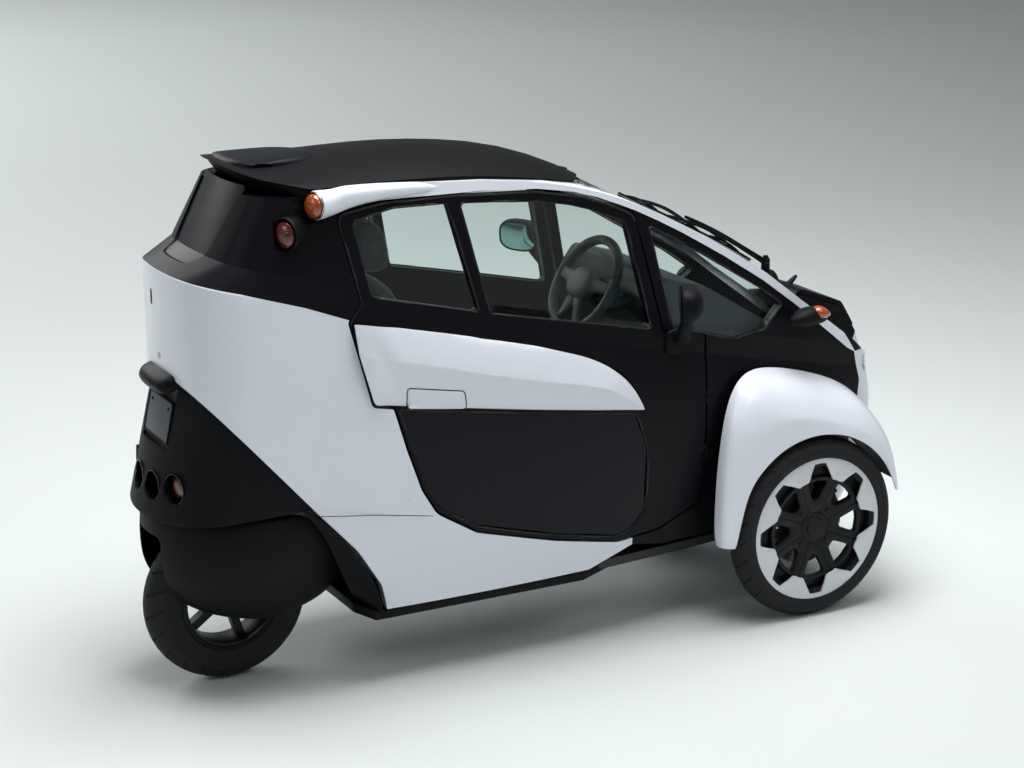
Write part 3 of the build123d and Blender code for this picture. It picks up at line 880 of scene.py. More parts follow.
def by_angle(points, hub, degrees, middle=None):
    """Starts a loop at its innermost point and runs it one way round, so that two loops pair up."""
    a = radians(degrees)
    along = Vector((cos(a), 0, sin(a)))
    across = Vector((-sin(a), 0, cos(a)))
    centre = middle or sum(points, Vector()) / len(points)
    places = [((p - centre).dot(along), (p - centre).dot(across)) for p in points]
    ordered = list(zip(points, places))
    turn = sum(
        p[0] * q[1] - q[0] * p[1] for (_, p), (_, q) in zip(ordered, ordered[1:] + ordered[:1])
    )
    if turn < 0:
        ordered.reverse()
    start = min(range(len(ordered)), key=lambda i: abs(atan2(ordered[i][1][1], -ordered[i][1][0])))
    return [p for p, _ in ordered[start:] + ordered[:start]]


def sector_of(ring, hole, count, hub, degrees, middle=None):
    """A flat piece between an edge and the hole in it, with as many points on each."""
    loops = [by_angle(resampled(points, count), hub, degrees, middle) for points in (ring, hole)]
    piece = joined("sector", [loop_of("loop", points) for points in loops])
    return edit(piece, lambda: bpy.ops.mesh.bridge_edge_loops())


def tyre_outline(wall, bead, radius, drop, power, half, steps):
    """A tyre's closed section, where its tread starts and its count of points. The tread falls by drop."""
    shape = [(wall[0][0], bead), (wall[0][0], -bead)] + wall
    shares = [-1 + 2 * k / steps for k in range(steps + 1)]
    crown = [(radius - drop * abs(t) ** power, half * t) for t in shares]
    return shape + crown + [(r, -o) for r, o in reversed(wall)], len(shape), len(crown)


def tyre_from(outline, first, count, name, centre, pitches, depth, sweep):
    """A tyre from its closed outline; the points from first on, count of them, are the tread. Mesh lines
    follow the grooves, which run back from the middle to each shoulder, staggered by half a pitch."""
    columns = (0.0, 0.04, 0.11, 0.15, 0.5, 0.54, 0.61, 0.65)
    half = max(abs(o) for _, o in outline[first : first + count])
    step = 2 * pi / pitches
    rows = []
    for i in range(pitches):
        for k, part in enumerate(columns):
            row = []
            for j, (r, o) in enumerate(outline):
                share = max(-1.0, min(1.0, o / half))
                a = step * (i + part) + sweep * (abs(share) ** 1.4)
                left = k in (1, 2) and 0.16 < share < 0.95
                right = k in (5, 6) and -0.95 < share < -0.16
                grooved = first <= j < first + count and (left or right)
                rr = r - (depth if grooved else 0)
                row.append(Vector((centre.x - rr * cos(a), centre.y + o, centre.z + rr * sin(a))))
            row.append(row[0].copy())
            rows.append(row)
    rows.append([p.copy() for p in rows[0]])
    return sheet_of(name, rows, closed=True)


class CAR_OT_wheels(bpy.types.Operator):
    """Model tyres, rims, covers and brakes"""

    bl_idname = "car.wheels"
    bl_label = "Wheels"

    def tyres(self, depth):
        """Narrow scooter tyres: 80 wide on 16 inch rims in front, 120 wide on a 10 inch rim behind."""
        front = tyre_outline(FRONT_WALL, 0.024, 0.275, 0.0235, 2.3, 0.0398, 24)
        for side, sign in SIDES:
            name, hub = "front_tyre_tread_" + side, FRONT_WHEEL * Vector((1, sign, 1))
            tyre = tyre_from(*front, name, hub, 28, depth * 0.8, 0.105)
            finish(tyre, "tyre_rubber", "front_wheel_" + side, ["front_tyre_" + side], 28)
        rear = tyre_outline(REAR_WALL, 0.044, 0.235, 0.036, 2.4, 0.0590, 32)
        tyre = tyre_from(*rear, "rear_tyre_tread", REAR_WHEEL, 22, depth, 0.17)
        finish(tyre, "tyre_rubber", "rear_wheel", ["rear_tyre"], 28)

    def cover(self, side, sign, hub):
        """Silver ring with eight square-shouldered notches between its fingers."""
        star = [(r, 45 * i + a) for i in range(8) for r, a in FINGER]
        fine = []
        for (r0, a0), (r1, a1) in zip(star, star[1:] + [(star[0][0], star[0][1] + 360)]):
            for t in (0, 0.5):
                if r0 == r1:
                    p = on_wheel(hub, r0, a0 + (a1 - a0) * t, 0)
                else:
                    p = on_wheel(hub, r0, a0, 0).lerp(on_wheel(hub, r1, a1, 0), t)
                fine.append((hypot(p.x - hub.x, p.z - hub.z), atan2(p.z - hub.z, p.x - hub.x)))
        rings = []
        for radius, y in ((None, 0.4235), (0.212, 0.4225), (0.2225, 0.4185)):
            turns = [(radius or r, a) for r, a in fine]
            points = [Vector((hub.x + r * cos(a), sign * y, hub.z + r * sin(a))) for r, a in turns]
            rings.append(loop_of("ring", points))
        cover = joined("silver_cover_" + side, rings)
        edit(
            cover,
            lambda: bpy.ops.mesh.bridge_edge_loops(),
            lambda: bpy.ops.mesh.select_all(action="SELECT"),
            lambda: bpy.ops.mesh.normals_make_consistent(inside=False),
        )
        facing(cover, 1, sign)
        thickened(cover, 0.006)
        bevelled(cover, 0.0009, 40)
        finish(cover, "silver_paint", "front_wheel_" + side, ["rim_cover_" + side], 30)

    def face(self, side, sign, hub):
        """Eight spokes with rounded windows between them, dished towards the hub."""

        def dish(r):
            return 0.402 + 0.012 * min(1, max(0, (r - 0.06) / 0.09))

        sectors = []
        for middle in range(0, 360, 45):
            ring = [on_wheel(hub, r, middle + a, dish(r)) for r, a in SPOKE_SECTOR]
            hole = []
            for u, v in rounded(SPOKE_WINDOW, [0.010, 0.010, 0, 0.010, 0.010], 4):
                r, a = hypot(u, v), atan2(v, u)
                hole.append(on_wheel(hub, r, middle + a * 180 / pi, dish(r) - 0.002))
            sectors.append(sector_of(ring, hole, 48, hub, middle))
        face = joined("wheel_face_" + side, sectors)
        tidy(face, 3e-4)
        facing(face, 1, sign)
        thickened(face, 0.022)
        bevelled(face, 0.0022, 50)
        self.cast(face, "front_wheel_" + side, ["front_rim_" + side], 40)

    def cast(self, piece, body, replaces=(), smooth=30):
        finish(piece, "black_cast_aluminium", body, replaces, smooth)

    def rim(self, side, sign, hub):
        """Barrel, hub with its cap, and four nuts."""
        body, out = "front_wheel_" + side, (0, sign, 0)
        self.cast(turned("wheel_barrel_" + side, BARREL, hub, out, 128), body)
        self.cast(turned("hub_" + side, HUB, hub, out, 64), body)
        nuts = []
        for degrees in (45, 135, 225, 315):
            ends = [on_wheel(hub, 0.064, degrees, y) for y in (0.392, 0.4055)]
            nuts.append(shaft("nut", *ends, 0.0085, 0.001, 6))
        self.cast(joined("wheel_nuts_" + side, nuts), body)

    def brake(self, side, sign, hub):
        """Drilled disc behind the spokes, its carrier, and the caliper on the knuckle."""
        body, sectors = "front_wheel_" + side, []
        for i in range(18):
            ring = [on_wheel(hub, r, 20 * i + a, DISC_Y) for r, a in DISC_SECTOR]
            middle = on_wheel(hub, 0.100 if i % 2 else 0.082, 20 * i, DISC_Y)
            hole = [
                middle + Vector((0.0042 * cos(2 * pi * k / 16), 0, 0.0042 * sin(2 * pi * k / 16)))
                for k in range(16)
            ]
            sectors.append(sector_of(ring, hole, 24, hub, 20 * i, middle))
        disc = joined("brake_disc_" + side, sectors)
        tidy(disc, 2e-4)
        facing(disc, 1, sign)
        thickened(disc, 0.004)
        finish(disc, "turned_steel", body, (), 30)
        self.cast(turned("disc_carrier_" + side, DISC_CARRIER, hub, (0, sign, 0), 48), body)
        # Two pads' housings and the bridge over the disc: radii, degrees, and Y from one face to the other
        wide, narrow = (38, 48, 58, 68, 78), (40, 49, 58, 67, 76)
        parts = []
        for high, low, over, under, near, far in (
            (0.124, 0.078, wide, narrow, 0.326, 0.346),
            (0.124, 0.078, wide, narrow, 0.354, 0.372),
            (0.136, 0.122, narrow, narrow, 0.326, 0.372),
        ):
            outer = [on_wheel(hub, high, a, near) for a in over]
            inner = [on_wheel(hub, low, a, near) for a in reversed(under)]
            parts.append(plate("caliper", outer + inner, (0, sign * (far - near), 0), 0.004))
        caliper = joined("brake_caliper_" + side, parts)
        finish(caliper, "black_cast_aluminium", "chassis", (), 40)

    def execute(self, context):
        self.tyres(context.scene.car_sizes.tread_depth)
        for side, sign in SIDES:
            hub = FRONT_WHEEL * Vector((1, sign, 1))
            for step in (self.cover, self.face, self.rim, self.brake):
                step(side, sign, hub)
        # Lip ring over the CAD's rear rim
        lip = turned("rear_rim_lip", REAR_LIP, REAR_WHEEL)
        self.cast(lip, "rear_wheel", (), 35)
        return {"FINISHED"}


DOOR = [
    (438, 380), (438, 885, 20), (288, 915, 8), (206, 1254, 20), (122, 1291), (43, 1319), (-100, 1347),
    (-350, 1359), (-560, 1356), (-675, 1335, 18), (-627, 1100), (-666, 1056, 6), (-607, 826, 8),
    (-549, 815, 8), (-512, 692), (-469, 572), (-424, 498, 60), (-302, 423), (-50, 353), (163, 307, 60),
    (300, 318, 40),
]
REAR_PANE = [(-638, 1316, 15), (-520, 1343), (-365, 1342, 12), (-293, 1043, 12), (-603, 1116, 15)]
FRONT_PANE = [
    (-331, 1339, 12), (-223, 1333), (-92, 1321), (2, 1303), (74, 1281), (129, 1260), (180, 1239, 15),
    (252, 926, 15), (-263, 1035, 12),
]
QUARTER = [
    (256, 1216, 8), (328, 1179), (431, 1120), (646, 992), (735, 928, 12), (660, 862), (560, 851),
    (440, 888), (325, 912, 15),
]
HANDLE = [(-520, 867, 10), (-354, 839, 10), (-345, 782, 3), (-519, 808, 3)]
LOWER_PANE = [
    (-540, 807, 6), (195, 694, 8), (238, 585), (247, 385, 30), (205, 330, 40), (160, 318, 60),
    (-50, 364), (-298, 434), (-417, 506, 60), (-459, 577), (-502, 694),
]


class CAR_OT_glazing(bpy.types.Operator):
    """Lay the rubber round the panes, doors and quarter windows"""

    bl_idname = "car.glazing"
    bl_label = "Seals and frames"

    def execute(self, context):
        radius = context.scene.car_sizes.seal
        for side, sign in SIDES:
            door_nodes = ["door_shell_" + side, "door_window_" + side, "door_pane_" + side]
            seals = [
                bead("seal", outline_of(points), sign, radius, *door_nodes)
                for points in (REAR_PANE, FRONT_PANE)
            ]
            seals.append(bead("seal", outline_of(LOWER_PANE), sign, radius * 0.8, *door_nodes))
            piece = joined("pane_seals_" + side, seals)
            finish(piece, "seal_rubber", "door_" + side, (), 60)
            piece = bead(
                "quarter_seal_" + side, outline_of(QUARTER), sign, radius * 1.2, "quarter_windows",
                "front_side_panels",
            )
            finish(piece, "seal_rubber", "chassis", (), 60)
            top = outline_of(DOOR)
            start = [p for p in top if p[1] > 1.02 and p[0] < 0.30]
            piece = bead(
                "door_frame_seal_" + side, start, sign, radius * 1.1, "door_shell_" + side, closed=False,
                sink=0.001,
            )
            finish(piece, "seal_rubber", "door_" + side, (), 60)
        return {"FINISHED"}


# White band, as X and Z on the door's skin: upper edge, lower edge, and the fold between them
BAND_TOP = [
    (-0.666, 1.060), (-0.395, 1.000), (-0.120, 0.930), (0.036, 0.878), (0.110, 0.838),
    (0.160, 0.796), (0.196, 0.750), (0.214, 0.716), (0.221, 0.703),
]
BAND_LOW = [
    (-0.610, 0.829), (-0.400, 0.796), (-0.160, 0.758), (0.000, 0.733), (0.085, 0.720),
    (0.140, 0.712), (0.180, 0.706), (0.208, 0.7015), (0.221, 0.6995),
]
BAND_FOLD = [
    (-0.655, 0.971), (-0.400, 0.906), (-0.150, 0.842), (0.010, 0.806), (0.092, 0.784),
    (0.146, 0.752), (0.186, 0.726), (0.211, 0.708), (0.221, 0.7012),
]
# Rows of the band: share of the way to the next edge, and height over the door. The first four start
# at the top
BAND_ROWS = [
    (0.0, 0.0), (0.04, 0.0020), (0.5, 0.0095), (0.94, 0.0160),
    (0.0, 0.0165), (0.06, 0.0145), (0.4, 0.0085), (0.93, 0.0022), (1.0, 0.0),
]
BAND_COLUMNS = 26
HANDLE_MIDDLE = (-0.434, 0.825)
FLOOR_EDGE = [
    (-0.595, -0.286), (0.060, -0.286), (0.200, -0.215), (0.200, 0.215), (0.060, 0.286),
    (-0.595, 0.286), (-0.625, 0.200), (-0.625, -0.200),
]
SHELL_JOINT = [(-0.770, 0.542), (-0.600, 0.515), (-0.437, 0.489)]
SHELL_CAP = [
    (-0.003, 0.024), (0.0012, 0.024), (0.0018, 0.021), (0.0006, 0.016), (0.0014, 0.010),
    (0.0016, 0.003),
]


def even_pairs(line, count, closed=True):
    """That many points at equal steps along a run of pairs, as pairs."""
    return [(p.x, p.y) for p in resampled([(x, z, 0) for x, z in line], count, closed)]


def shrunk(points, middle, wide, high):
    """Pairs drawn in towards a middle."""
    return [(middle[0] + (x - middle[0]) * wide, middle[1] + (z - middle[1]) * high) for x, z in points]


def laid_on(target, points, sign, lift):
    """Pairs of X and Z put on a piece seen from the side, and lifted off it."""
    result = []
    for x, z in points:
        point = target((x, sign * 0.9, z), (0, -sign, 0))
        result.append(Vector((x, point.y + sign * lift, z)) if point else None)
    known = next(p for p in result if p)
    return [p or Vector((x, known.y, z)) for p, (x, z) in zip(result, points)]


class CAR_OT_doors(bpy.types.Operator):
    """Model the door bands, their handles, the floor's edge, and the joint lines and caps of the shell"""

    bl_idname = "car.doors"
    bl_label = "Doors"

    def band(self, side, sign):
        """White band, folded along its length and flush with the door at its ends."""
        top, low, fold = (even_pairs(line, BAND_COLUMNS, False) for line in (BAND_TOP, BAND_LOW, BAND_FOLD))
        rows = []
        for number, (share, lift) in enumerate(BAND_ROWS):
            start, end = (top, fold) if number < 4 else (fold, low)
            flat = [
                (a[0] + (b[0] - a[0]) * share, a[1] + (b[1] - a[1]) * share) for a, b in zip(start, end)
            ]
            laid = on_skin(flat, sign, "door_band_" + side, "door_shell_" + side)
            row = []
            for k, p in enumerate(laid):
                fade = min(1, (BAND_COLUMNS - 1 - k) / 4, 0.35 + k / 5)
                row.append(Vector((p.x, p.y + sign * lift * fade, p.z)))
            rows.append(row)
        band = sheet_of("door_band_skin_" + side, rows)
        subdivided(band, 2)
        outward(band, 1, sign)
        thickened(band, 0.008)
        return finish(band, "pearl_enamel", "door_" + side, ["door_band_" + side], 45)

    def handle(self, side, sign, band):
        """Flush flap in the band, and round it a thin dark rubber tube as the painted shadow of its groove.
        """
        target = surface_of_piece(band)
        run = even_pairs(outline_of(HANDLE, 4), 64)
        inset = shrunk(run, HANDLE_MIDDLE, 0.965, 0.93)
        middle = shrunk(run, HANDLE_MIDDLE, 0.6, 0.6)
        tip = shrunk(run, HANDLE_MIDDLE, 0.1, 0.1)
        edge = laid_on(target, inset, sign, 0.0016)
        crest = [
            p.lerp(q, 0.04) + Vector((0, sign * 0.0008, 0))
            for p, q in zip(edge, laid_on(target, middle, sign, 0.002))
        ]
        foot = laid_on(target, inset, sign, -0.003)
        flat = [laid_on(target, points, sign, 0.0026) for points in (middle, tip)]
        grip = lofted("handle", [foot, edge, crest, *flat])
        finish(grip, "pearl_enamel", "door_" + side, ["door_handle_" + side], 40)
        # Painted shadow: a thin dark rubber tube along the flap's outline stands in for the shade in the
        # groove round it
        line = laid_on(target, run, sign, -0.0002)
        groove_shadow = tube("handle_groove_shadow_" + side, line, 0.0016, True, resolution=1)
        finish(groove_shadow, "seal_rubber", "door_" + side, (), 60)

    def skirt(self):
        """Dark edge of the floor that shows below the white sills."""
        edge = [(x, y, 0.196) for x, y in rounded(FLOOR_EDGE, [0.006] * len(FLOOR_EDGE), 3)]
        skirt = plate("floor_skirt", edge, (0, 0, 0.030), 0.004)
        finish(skirt, "satin_enamel", "chassis", (), 30)

    def shell_trim(self, side, sign):
        """Joint line above the sill on the white shell, and a round cap."""
        line = bead("seam", SHELL_JOINT, sign, 0.0012, "rear_shell", closed=False, step=0.02)
        seam = joined("shell_seam_" + side, [line])
        finish(seam, "seal_rubber", "chassis", (), 60)
        spot = on_skin([(-0.498, 0.547)], sign, "rear_shell")[0]
        loops = stations(spot, Vector((0, sign, 0)), (1, 0, 0), (0, 0, 1), SHELL_CAP)
        cap = lofted("shell_cap_" + side, loops, levels=0)
        finish(cap, "pearl_enamel", "chassis", (), 30)

    def execute(self, context):
        for side, sign in SIDES:
            self.handle(side, sign, self.band(side, sign))
            if side == "right":
                self.skirt()
            self.shell_trim(side, sign)
        return {"FINISHED"}


def surface_of_piece(piece):
    """Something to drop points on: a modelled piece's faces."""
    corners = [v.co.copy() for v in piece.data.vertices]
    tree = BVHTree.FromPolygons(corners, [tuple(p.vertices) for p in piece.data.polygons])
    return lambda origin, direction: tree.ray_cast(Vector(origin), Vector(direction))[0]


# Roof: half its width, and the bow of its front edge as the bow's middle and radius
ROOF_HALF, BOW_X, BOW_RADIUS = 0.262, -0.158, 0.310
# Trailing lip: distance from the middle, then its X and its Z
LIP_X = [
    (0.0, -0.925), (0.07, -0.920), (0.14, -0.899), (0.20, -0.860), (0.235, -0.815), (0.262, -0.752),
]
LIP_Z = [(0.0, 1.460), (0.07, 1.457), (0.14, 1.447), (0.20, 1.435), (0.235, 1.426), (0.262, 1.412)]
# Stations from the lip to the front: share of the way, and depth of the skin there
ROOF_STATIONS = [
    (0.0, 0.004), (0.012, 0.008), (0.05, 0.055), (0.11, 0.080), (0.18, 0.085), (0.26, 0.080),
    (0.34, 0.070), (0.42, 0.060), (0.50, 0.050), (0.58, 0.045), (0.66, 0.040), (0.74, 0.034),
    (0.82, 0.030), (0.89, 0.024), (0.95, 0.018), (0.98, 0.012), (1.0, 0.008),
]
LIP_SHARE = 0.26
# Pad on the lip: Y, and X at its back and front
PAD = [
    (-0.112, -0.846, -0.790), (-0.104, -0.868, -0.735), (-0.082, -0.886, -0.680),
    (-0.050, -0.896, -0.640), (0.0, -0.899, -0.612), (0.055, -0.896, -0.640),
    (0.095, -0.886, -0.680), (0.125, -0.868, -0.735), (0.135, -0.846, -0.790),
]
PAD_TOP = 1.470


def between(table, y):
    """Value at a distance from the middle, from pairs of distance and value."""
    y = abs(y)
    for (a, va), (b, vb) in zip(table, table[1:]):
        if y <= b:
            return va + (vb - va) * (y - a) / (b - a)
    return table[-1][1]


class CAR_OT_roof(bpy.types.Operator):
    """Model the roof skin with its trailing lip, and the pad on the lip"""

    bl_idname = "car.roof"
    bl_label = "Roof"

    def skin(self):
        """Skin over the CAD's roof, carried back to the lip; it keeps inside the CAD's own width."""
        hit = surface_of("roof_panel")

        def over(x, y):
            found = hit((x, y, 2.0), (0, 0, -1))
            return Vector((x, y, found[0].z)) if found else None

        def half_width(x):
            wide = ROOF_HALF
            while x > -0.74 and wide > 0.05 and over(x, wide + 0.004) is None:
                wide -= 0.003
            return wide

        loops = []
        for k in range(-18, 19):
            turn = sin(k / 18 * pi / 2)
            side_y = ROOF_HALF * turn
            back = between(LIP_X, side_y)
            front = BOW_X + sqrt(BOW_RADIUS ** 2 - side_y ** 2)
            for _ in range(4):
                front = BOW_X + sqrt(BOW_RADIUS ** 2 - (turn * half_width(front - 0.004)) ** 2)
            top, under = [], []
            for t, depth in ROOF_STATIONS:
                x = back + (front - back) * t
                y = turn * half_width(x)
                inside = y * 0.99
                point = over(max(x, -0.86), inside)
                while point is None and abs(inside) > 0.01:
                    inside *= 0.96
                    point = over(max(x, -0.86), inside)
                if point is None:
                    point = over(x - 0.012, inside) or top[-1]
                blend = min(1.0, t / LIP_SHARE)
                z = between(LIP_Z, side_y) * (1 - blend) + point.z * blend
                top.append(Vector((x, y, z + 0.0012)))
                under.append(top[-1] + Vector((0.004 if t < 0.02 else 0.0, 0, -depth)))
            loops.append(top + under[::-1])
        skin = lofted("roof_skin", loops, levels=0)
        return finish(skin, "matt_roof_enamel", "chassis", ["roof_panel"], 40)

    def pad(self, skin):
        """Lens-shaped pad on the lip, level on top."""
        target = surface_of_piece(skin)
        rows = []
        for y, back, front in PAD:
            edge = 1 - (abs(y) / 0.136) ** 4
            row = []
            for t in (0.0, 0.02, 0.10, 0.30, 0.60, 0.85, 0.97, 1.0):
                x = back + (front - back) * t
                low = target((x, y, 2.0), (0, 0, -1)) or Vector((x, y, 1.45))
                rise = max(PAD_TOP, low.z + 0.005) - low.z
                rise *= (0.15 + 0.85 * edge) * min(1, 30 * t + 0.25, 5 * (1 - t) + 0.15) if 0 < t < 1 else 0
                row.append(low + Vector((0, 0, rise - 0.002)))
            rows.append(row)
        pad = sheet_of("roof_pad", rows)
        subdivided(pad, 2)
        outward(pad, 2)
        thickened(pad, 0.006)
        finish(pad, "satin_enamel", "chassis", ["spoiler"], 40)

    def execute(self, context):
        self.pad(self.skin())
        return {"FINISHED"}


# Mirror head from the glass back: depth, width and height
MIRROR_HEAD = [
    (-0.004, 0.128, 0.086), (-0.001, 0.146, 0.102), (0.004, 0.152, 0.108), (0.018, 0.154, 0.109),
    (0.036, 0.146, 0.101), (0.052, 0.122, 0.082), (0.062, 0.086, 0.056), (0.066, 0.04, 0.026),
]
MIRROR_ARM = [(0.052, 0.050), (0.046, 0.040), (0.038, 0.026), (0.036, 0.024), (0.040, 0.028)]
MIRROR_SHIELD = [
    (301, 912, 12), (297, 852, 10), (334, 838, 10), (384, 876, 14), (386, 908, 12), (376, 928, 8),
]


class CAR_OT_mirrors(bpy.types.Operator):
    """Model the door mirrors"""

    bl_idname = "car.mirrors"
    bl_label = "Mirrors"

    def arm(self, sign):
        """From the shield on the door, out and up to the head."""
        base = Vector((0.338, sign * 0.333, 0.892))
        path = [
            base, base + Vector((-0.010, sign * 0.028, 0.010)), Vector((0.318, sign * 0.395, 0.940)),
            Vector((0.300, sign * 0.432, 0.978)), Vector((0.286, sign * 0.462, 1.006)),
        ]
        loops = []
        for i, (spot, (width, height)) in enumerate(zip(path, MIRROR_ARM)):
            along = (path[min(i + 1, 4)] - path[max(i - 1, 0)]).normalized()
            u = Vector((1, 0, 0)) - along * along.x
            loops.append(oval(spot, u, along.cross(u), width, height, 2.4, 20))
        return lofted("mirror_arm", loops)

    def foot(self, side, sign):
        """Shield that carries the arm, seated on the door's skin."""
        shield = outline_of(MIRROR_SHIELD, 4)
        skins = ("door_shell_" + side, "door_window_" + side, "quarter_windows", "front_side_panels")
        depth = max(abs(p.y) for p in on_skin(shield, sign, *skins)) - 0.006
        return plate(
            "mirror_foot", [(x, sign * depth, z) for x, z in shield], (0, sign * 0.014, 0), 0.004, 3,
        )

    def execute(self, context):
        for side, sign in SIDES:
            # Head: glass looks back and in at the driver
            face = Vector((-cos(radians(30)), -sign * sin(radians(30)), -0.06)).normalized()
            up = (Vector((0, 0, 1)) - face * face.z).normalized()
            across = up.cross(face).normalized()
            centre = Vector((0.254, sign * 0.474, 1.034))
            loops = [
                oval(centre - face * depth * 0.9, across, up, width * 0.92, height * 0.92, 2.9, 36)
                for depth, width, height in MIRROR_HEAD
            ]
            head = lofted("mirror_head", loops)
            rim = oval(centre + face * 0.0045, across, up, 0.134, 0.094, 2.9, 48)
            inner = oval(centre + face * 0.0045, across, up, 0.124, 0.084, 2.9, 48)
            lip = ring_plate("mirror_lip", rim, inner, tuple(face * 0.002), 0.0006)
            pieces = [head, lip, self.arm(sign), self.foot(side, sign)]
            piece = joined("mirror_body_" + side, pieces)
            finish(piece, "moulded_abs", "door_" + side, ["mirror_" + side], 40)
            pane = oval(centre + face * 0.0042, across, up, 0.125, 0.085, 2.9, 48)
            glass = plate("mirror_glass_" + side, pane, tuple(face * 0.0012), 0.0004)
            finish(glass, "silvered_glass", "door_" + side, (), 30)
        return {"FINISHED"}


# Turn lamps: X, distance from the middle, Z, width and height of each station
TURN_POD = [
    (0.726, 0.312, 0.886, 0.004, 0.004), (0.742, 0.312, 0.888, 0.046, 0.034),
    (0.768, 0.312, 0.893, 0.066, 0.050), (0.796, 0.312, 0.896, 0.068, 0.056),
    (0.822, 0.312, 0.895, 0.060, 0.052), (0.843, 0.312, 0.891, 0.042, 0.038),
    (0.858, 0.312, 0.888, 0.016, 0.014),
]
TURN_STALK = [
    (0.79, 0.215, 0.862, 0.06, 0.045), (0.792, 0.250, 0.874, 0.05, 0.034),
    (0.795, 0.290, 0.886, 0.048, 0.03),
]
TURN_LENS = [
    (0.796, 0.322, 0.9065, 0.012, 0.010), (0.804, 0.322, 0.9065, 0.044, 0.036),
    (0.822, 0.322, 0.9055, 0.050, 0.0415), (0.840, 0.322, 0.9025, 0.040, 0.032),
    (0.854, 0.322, 0.8985, 0.024, 0.018), (0.860, 0.322, 0.8965, 0.008, 0.006),
]
# Open end of the white rail: the run that leads to it, then stations round the lamp
RAIL_RUN = [
    (-0.200, 0.244, 1.362, 0.030, 0.014), (-0.330, 0.254, 1.378, 0.038, 0.022),
    (-0.430, 0.2605, 1.387, 0.044, 0.032), (-0.520, 0.264, 1.389, 0.046, 0.040),
    (-0.600, 0.266, 1.388, 0.052, 0.050), (-0.655, 0.2675, 1.384, 0.058, 0.060),
]
RAIL_MOUTH = [
    (-0.045, 0.066, 0.071), (-0.010, 0.0715, 0.0765), (0.003, 0.072, 0.077), (0.007, 0.0695, 0.0745),
    (0.006, 0.067, 0.0715), (-0.02, 0.067, 0.0715),
]
RAIL_LENS = [
    (-0.03, 0.063, 0.067), (0.008, 0.063, 0.067), (0.018, 0.057, 0.061), (0.025, 0.042, 0.045),
    (0.028, 0.018, 0.020),
]
RAIL_SLEEVE = [(-0.02, 0.0685), (0.009, 0.0685), (0.011, 0.0675), (0.010, 0.0655), (-0.02, 0.065)]
# Stop lamp's pod: distance back, width, height, and how far in it leans
STOP_POD = [
    (-0.130, 0.026, 0.036, 0.020), (-0.090, 0.056, 0.066, 0.012), (-0.05, 0.076, 0.086, 0.005),
    (-0.012, 0.086, 0.094, 0), (0.004, 0.086, 0.094, 0), (0.0065, 0.082, 0.090, 0),
    (0.003, 0.074, 0.082, 0), (-0.014, 0.072, 0.080, 0),
]
STOP_LENS = [(-0.03, 0.068), (-0.003, 0.068), (0.006, 0.062), (0.012, 0.042), (0.014, 0.018)]


class CAR_OT_lamps(bpy.types.Operator):
    """Model the turn lamps, the lamps at the rails' ends and the stop lamps"""

    bl_idname = "car.lamps"
    bl_label = "Lamps"

    def turn_lamp(self, side, sign):
        """Pod at the foot of the screen: a dark teardrop with an amber lens along its front edge."""
        pod = lofted("turn_pod", placed_ovals(TURN_POD, sign, Y_AXIS, Z_AXIS, 2.3, 28))
        stalk = lofted("stalk", placed_ovals(TURN_STALK, sign, (1, 0, 0), (0, 0.5, 1), 2.2, 20))
        piece = joined("turn_pod_" + side, [pod, stalk])
        finish(piece, "moulded_abs", "chassis", (), 50)
        lens = lofted("turn_lens_" + side, placed_ovals(TURN_LENS, sign, Y_AXIS, Z_AXIS, 2.3, 24))
        finish(lens, "amber_acrylic", "chassis", (), 50)

    def rail_lamp(self, side, sign):
        """Round amber lamp in the open end of the white rail, with a grey sleeve round it."""
        spot = Vector((-0.737, sign * 0.2695, 1.371))
        back = Vector((-0.93, sign * 0.36, 0.0)).normalized()
        across = back.cross(Vector(Z_AXIS))
        lens = lofted("rail_lamp_" + side, stations(spot, back, across, Z_AXIS, RAIL_LENS))
        finish(lens, "amber_acrylic", "chassis", ["amber_lamps"] if sign < 0 else (), 50)
        sizes = [(d, w, w * 1.05) for d, w in RAIL_SLEEVE]
        loops = stations(spot, back, across, Z_AXIS, sizes, 2.0, 40)
        sleeve = lofted("rail_lamp_bezel_" + side, loops, True, 0)
        loops = placed_ovals(RAIL_RUN, sign, Y_AXIS, Z_AXIS, 2.4, 40)
        mouth = stations(spot, back, across, Z_AXIS, RAIL_MOUTH, 2.2, 40)
        if (loops[-1][0] - loops[-1][20]).dot(mouth[0][0] - mouth[0][20]) < 0:
            mouth = [[loop[(20 - k) % 40] for k in range(40)] for loop in mouth]
        end = lofted("rail_end_" + side, loops + mouth, True)
        finish(end, "pearl_enamel", "chassis", (), 50)
        finish(sleeve, "zinc_plated_steel", "chassis", (), 40)

    def stop_lamp(self, side, sign):
        """Red lamp in a black round pod that fairs forward into the shell."""
        spot = Vector((-0.824, sign * 0.262, 1.300))
        back = Vector((-0.88, sign * 0.47, 0.02)).normalized()
        across = back.cross(Vector(Z_AXIS)).normalized()
        loops = [
            oval(spot + back * d + Vector((0, -sign * lean, 0)), across, Z_AXIS, w, h, 2.0, 36)
            for d, w, h, lean in STOP_POD
        ]
        pod = lofted("stop_lamp_pod_" + side, loops)
        finish(pod, "moulded_abs", "chassis", (), 50)
        sizes = [(d, w, w * 1.12) for d, w in STOP_LENS]
        lens = lofted("stop_lamp_" + side, stations(spot, back, across, Z_AXIS, sizes))
        finish(lens, "red_acrylic", "chassis", ["red_lamps"] if sign < 0 else (), 50)

    def execute(self, context):
        for side, sign in SIDES:
            self.turn_lamp(side, sign)
            self.rail_lamp(side, sign)
            self.stop_lamp(side, sign)
        return {"FINISHED"}


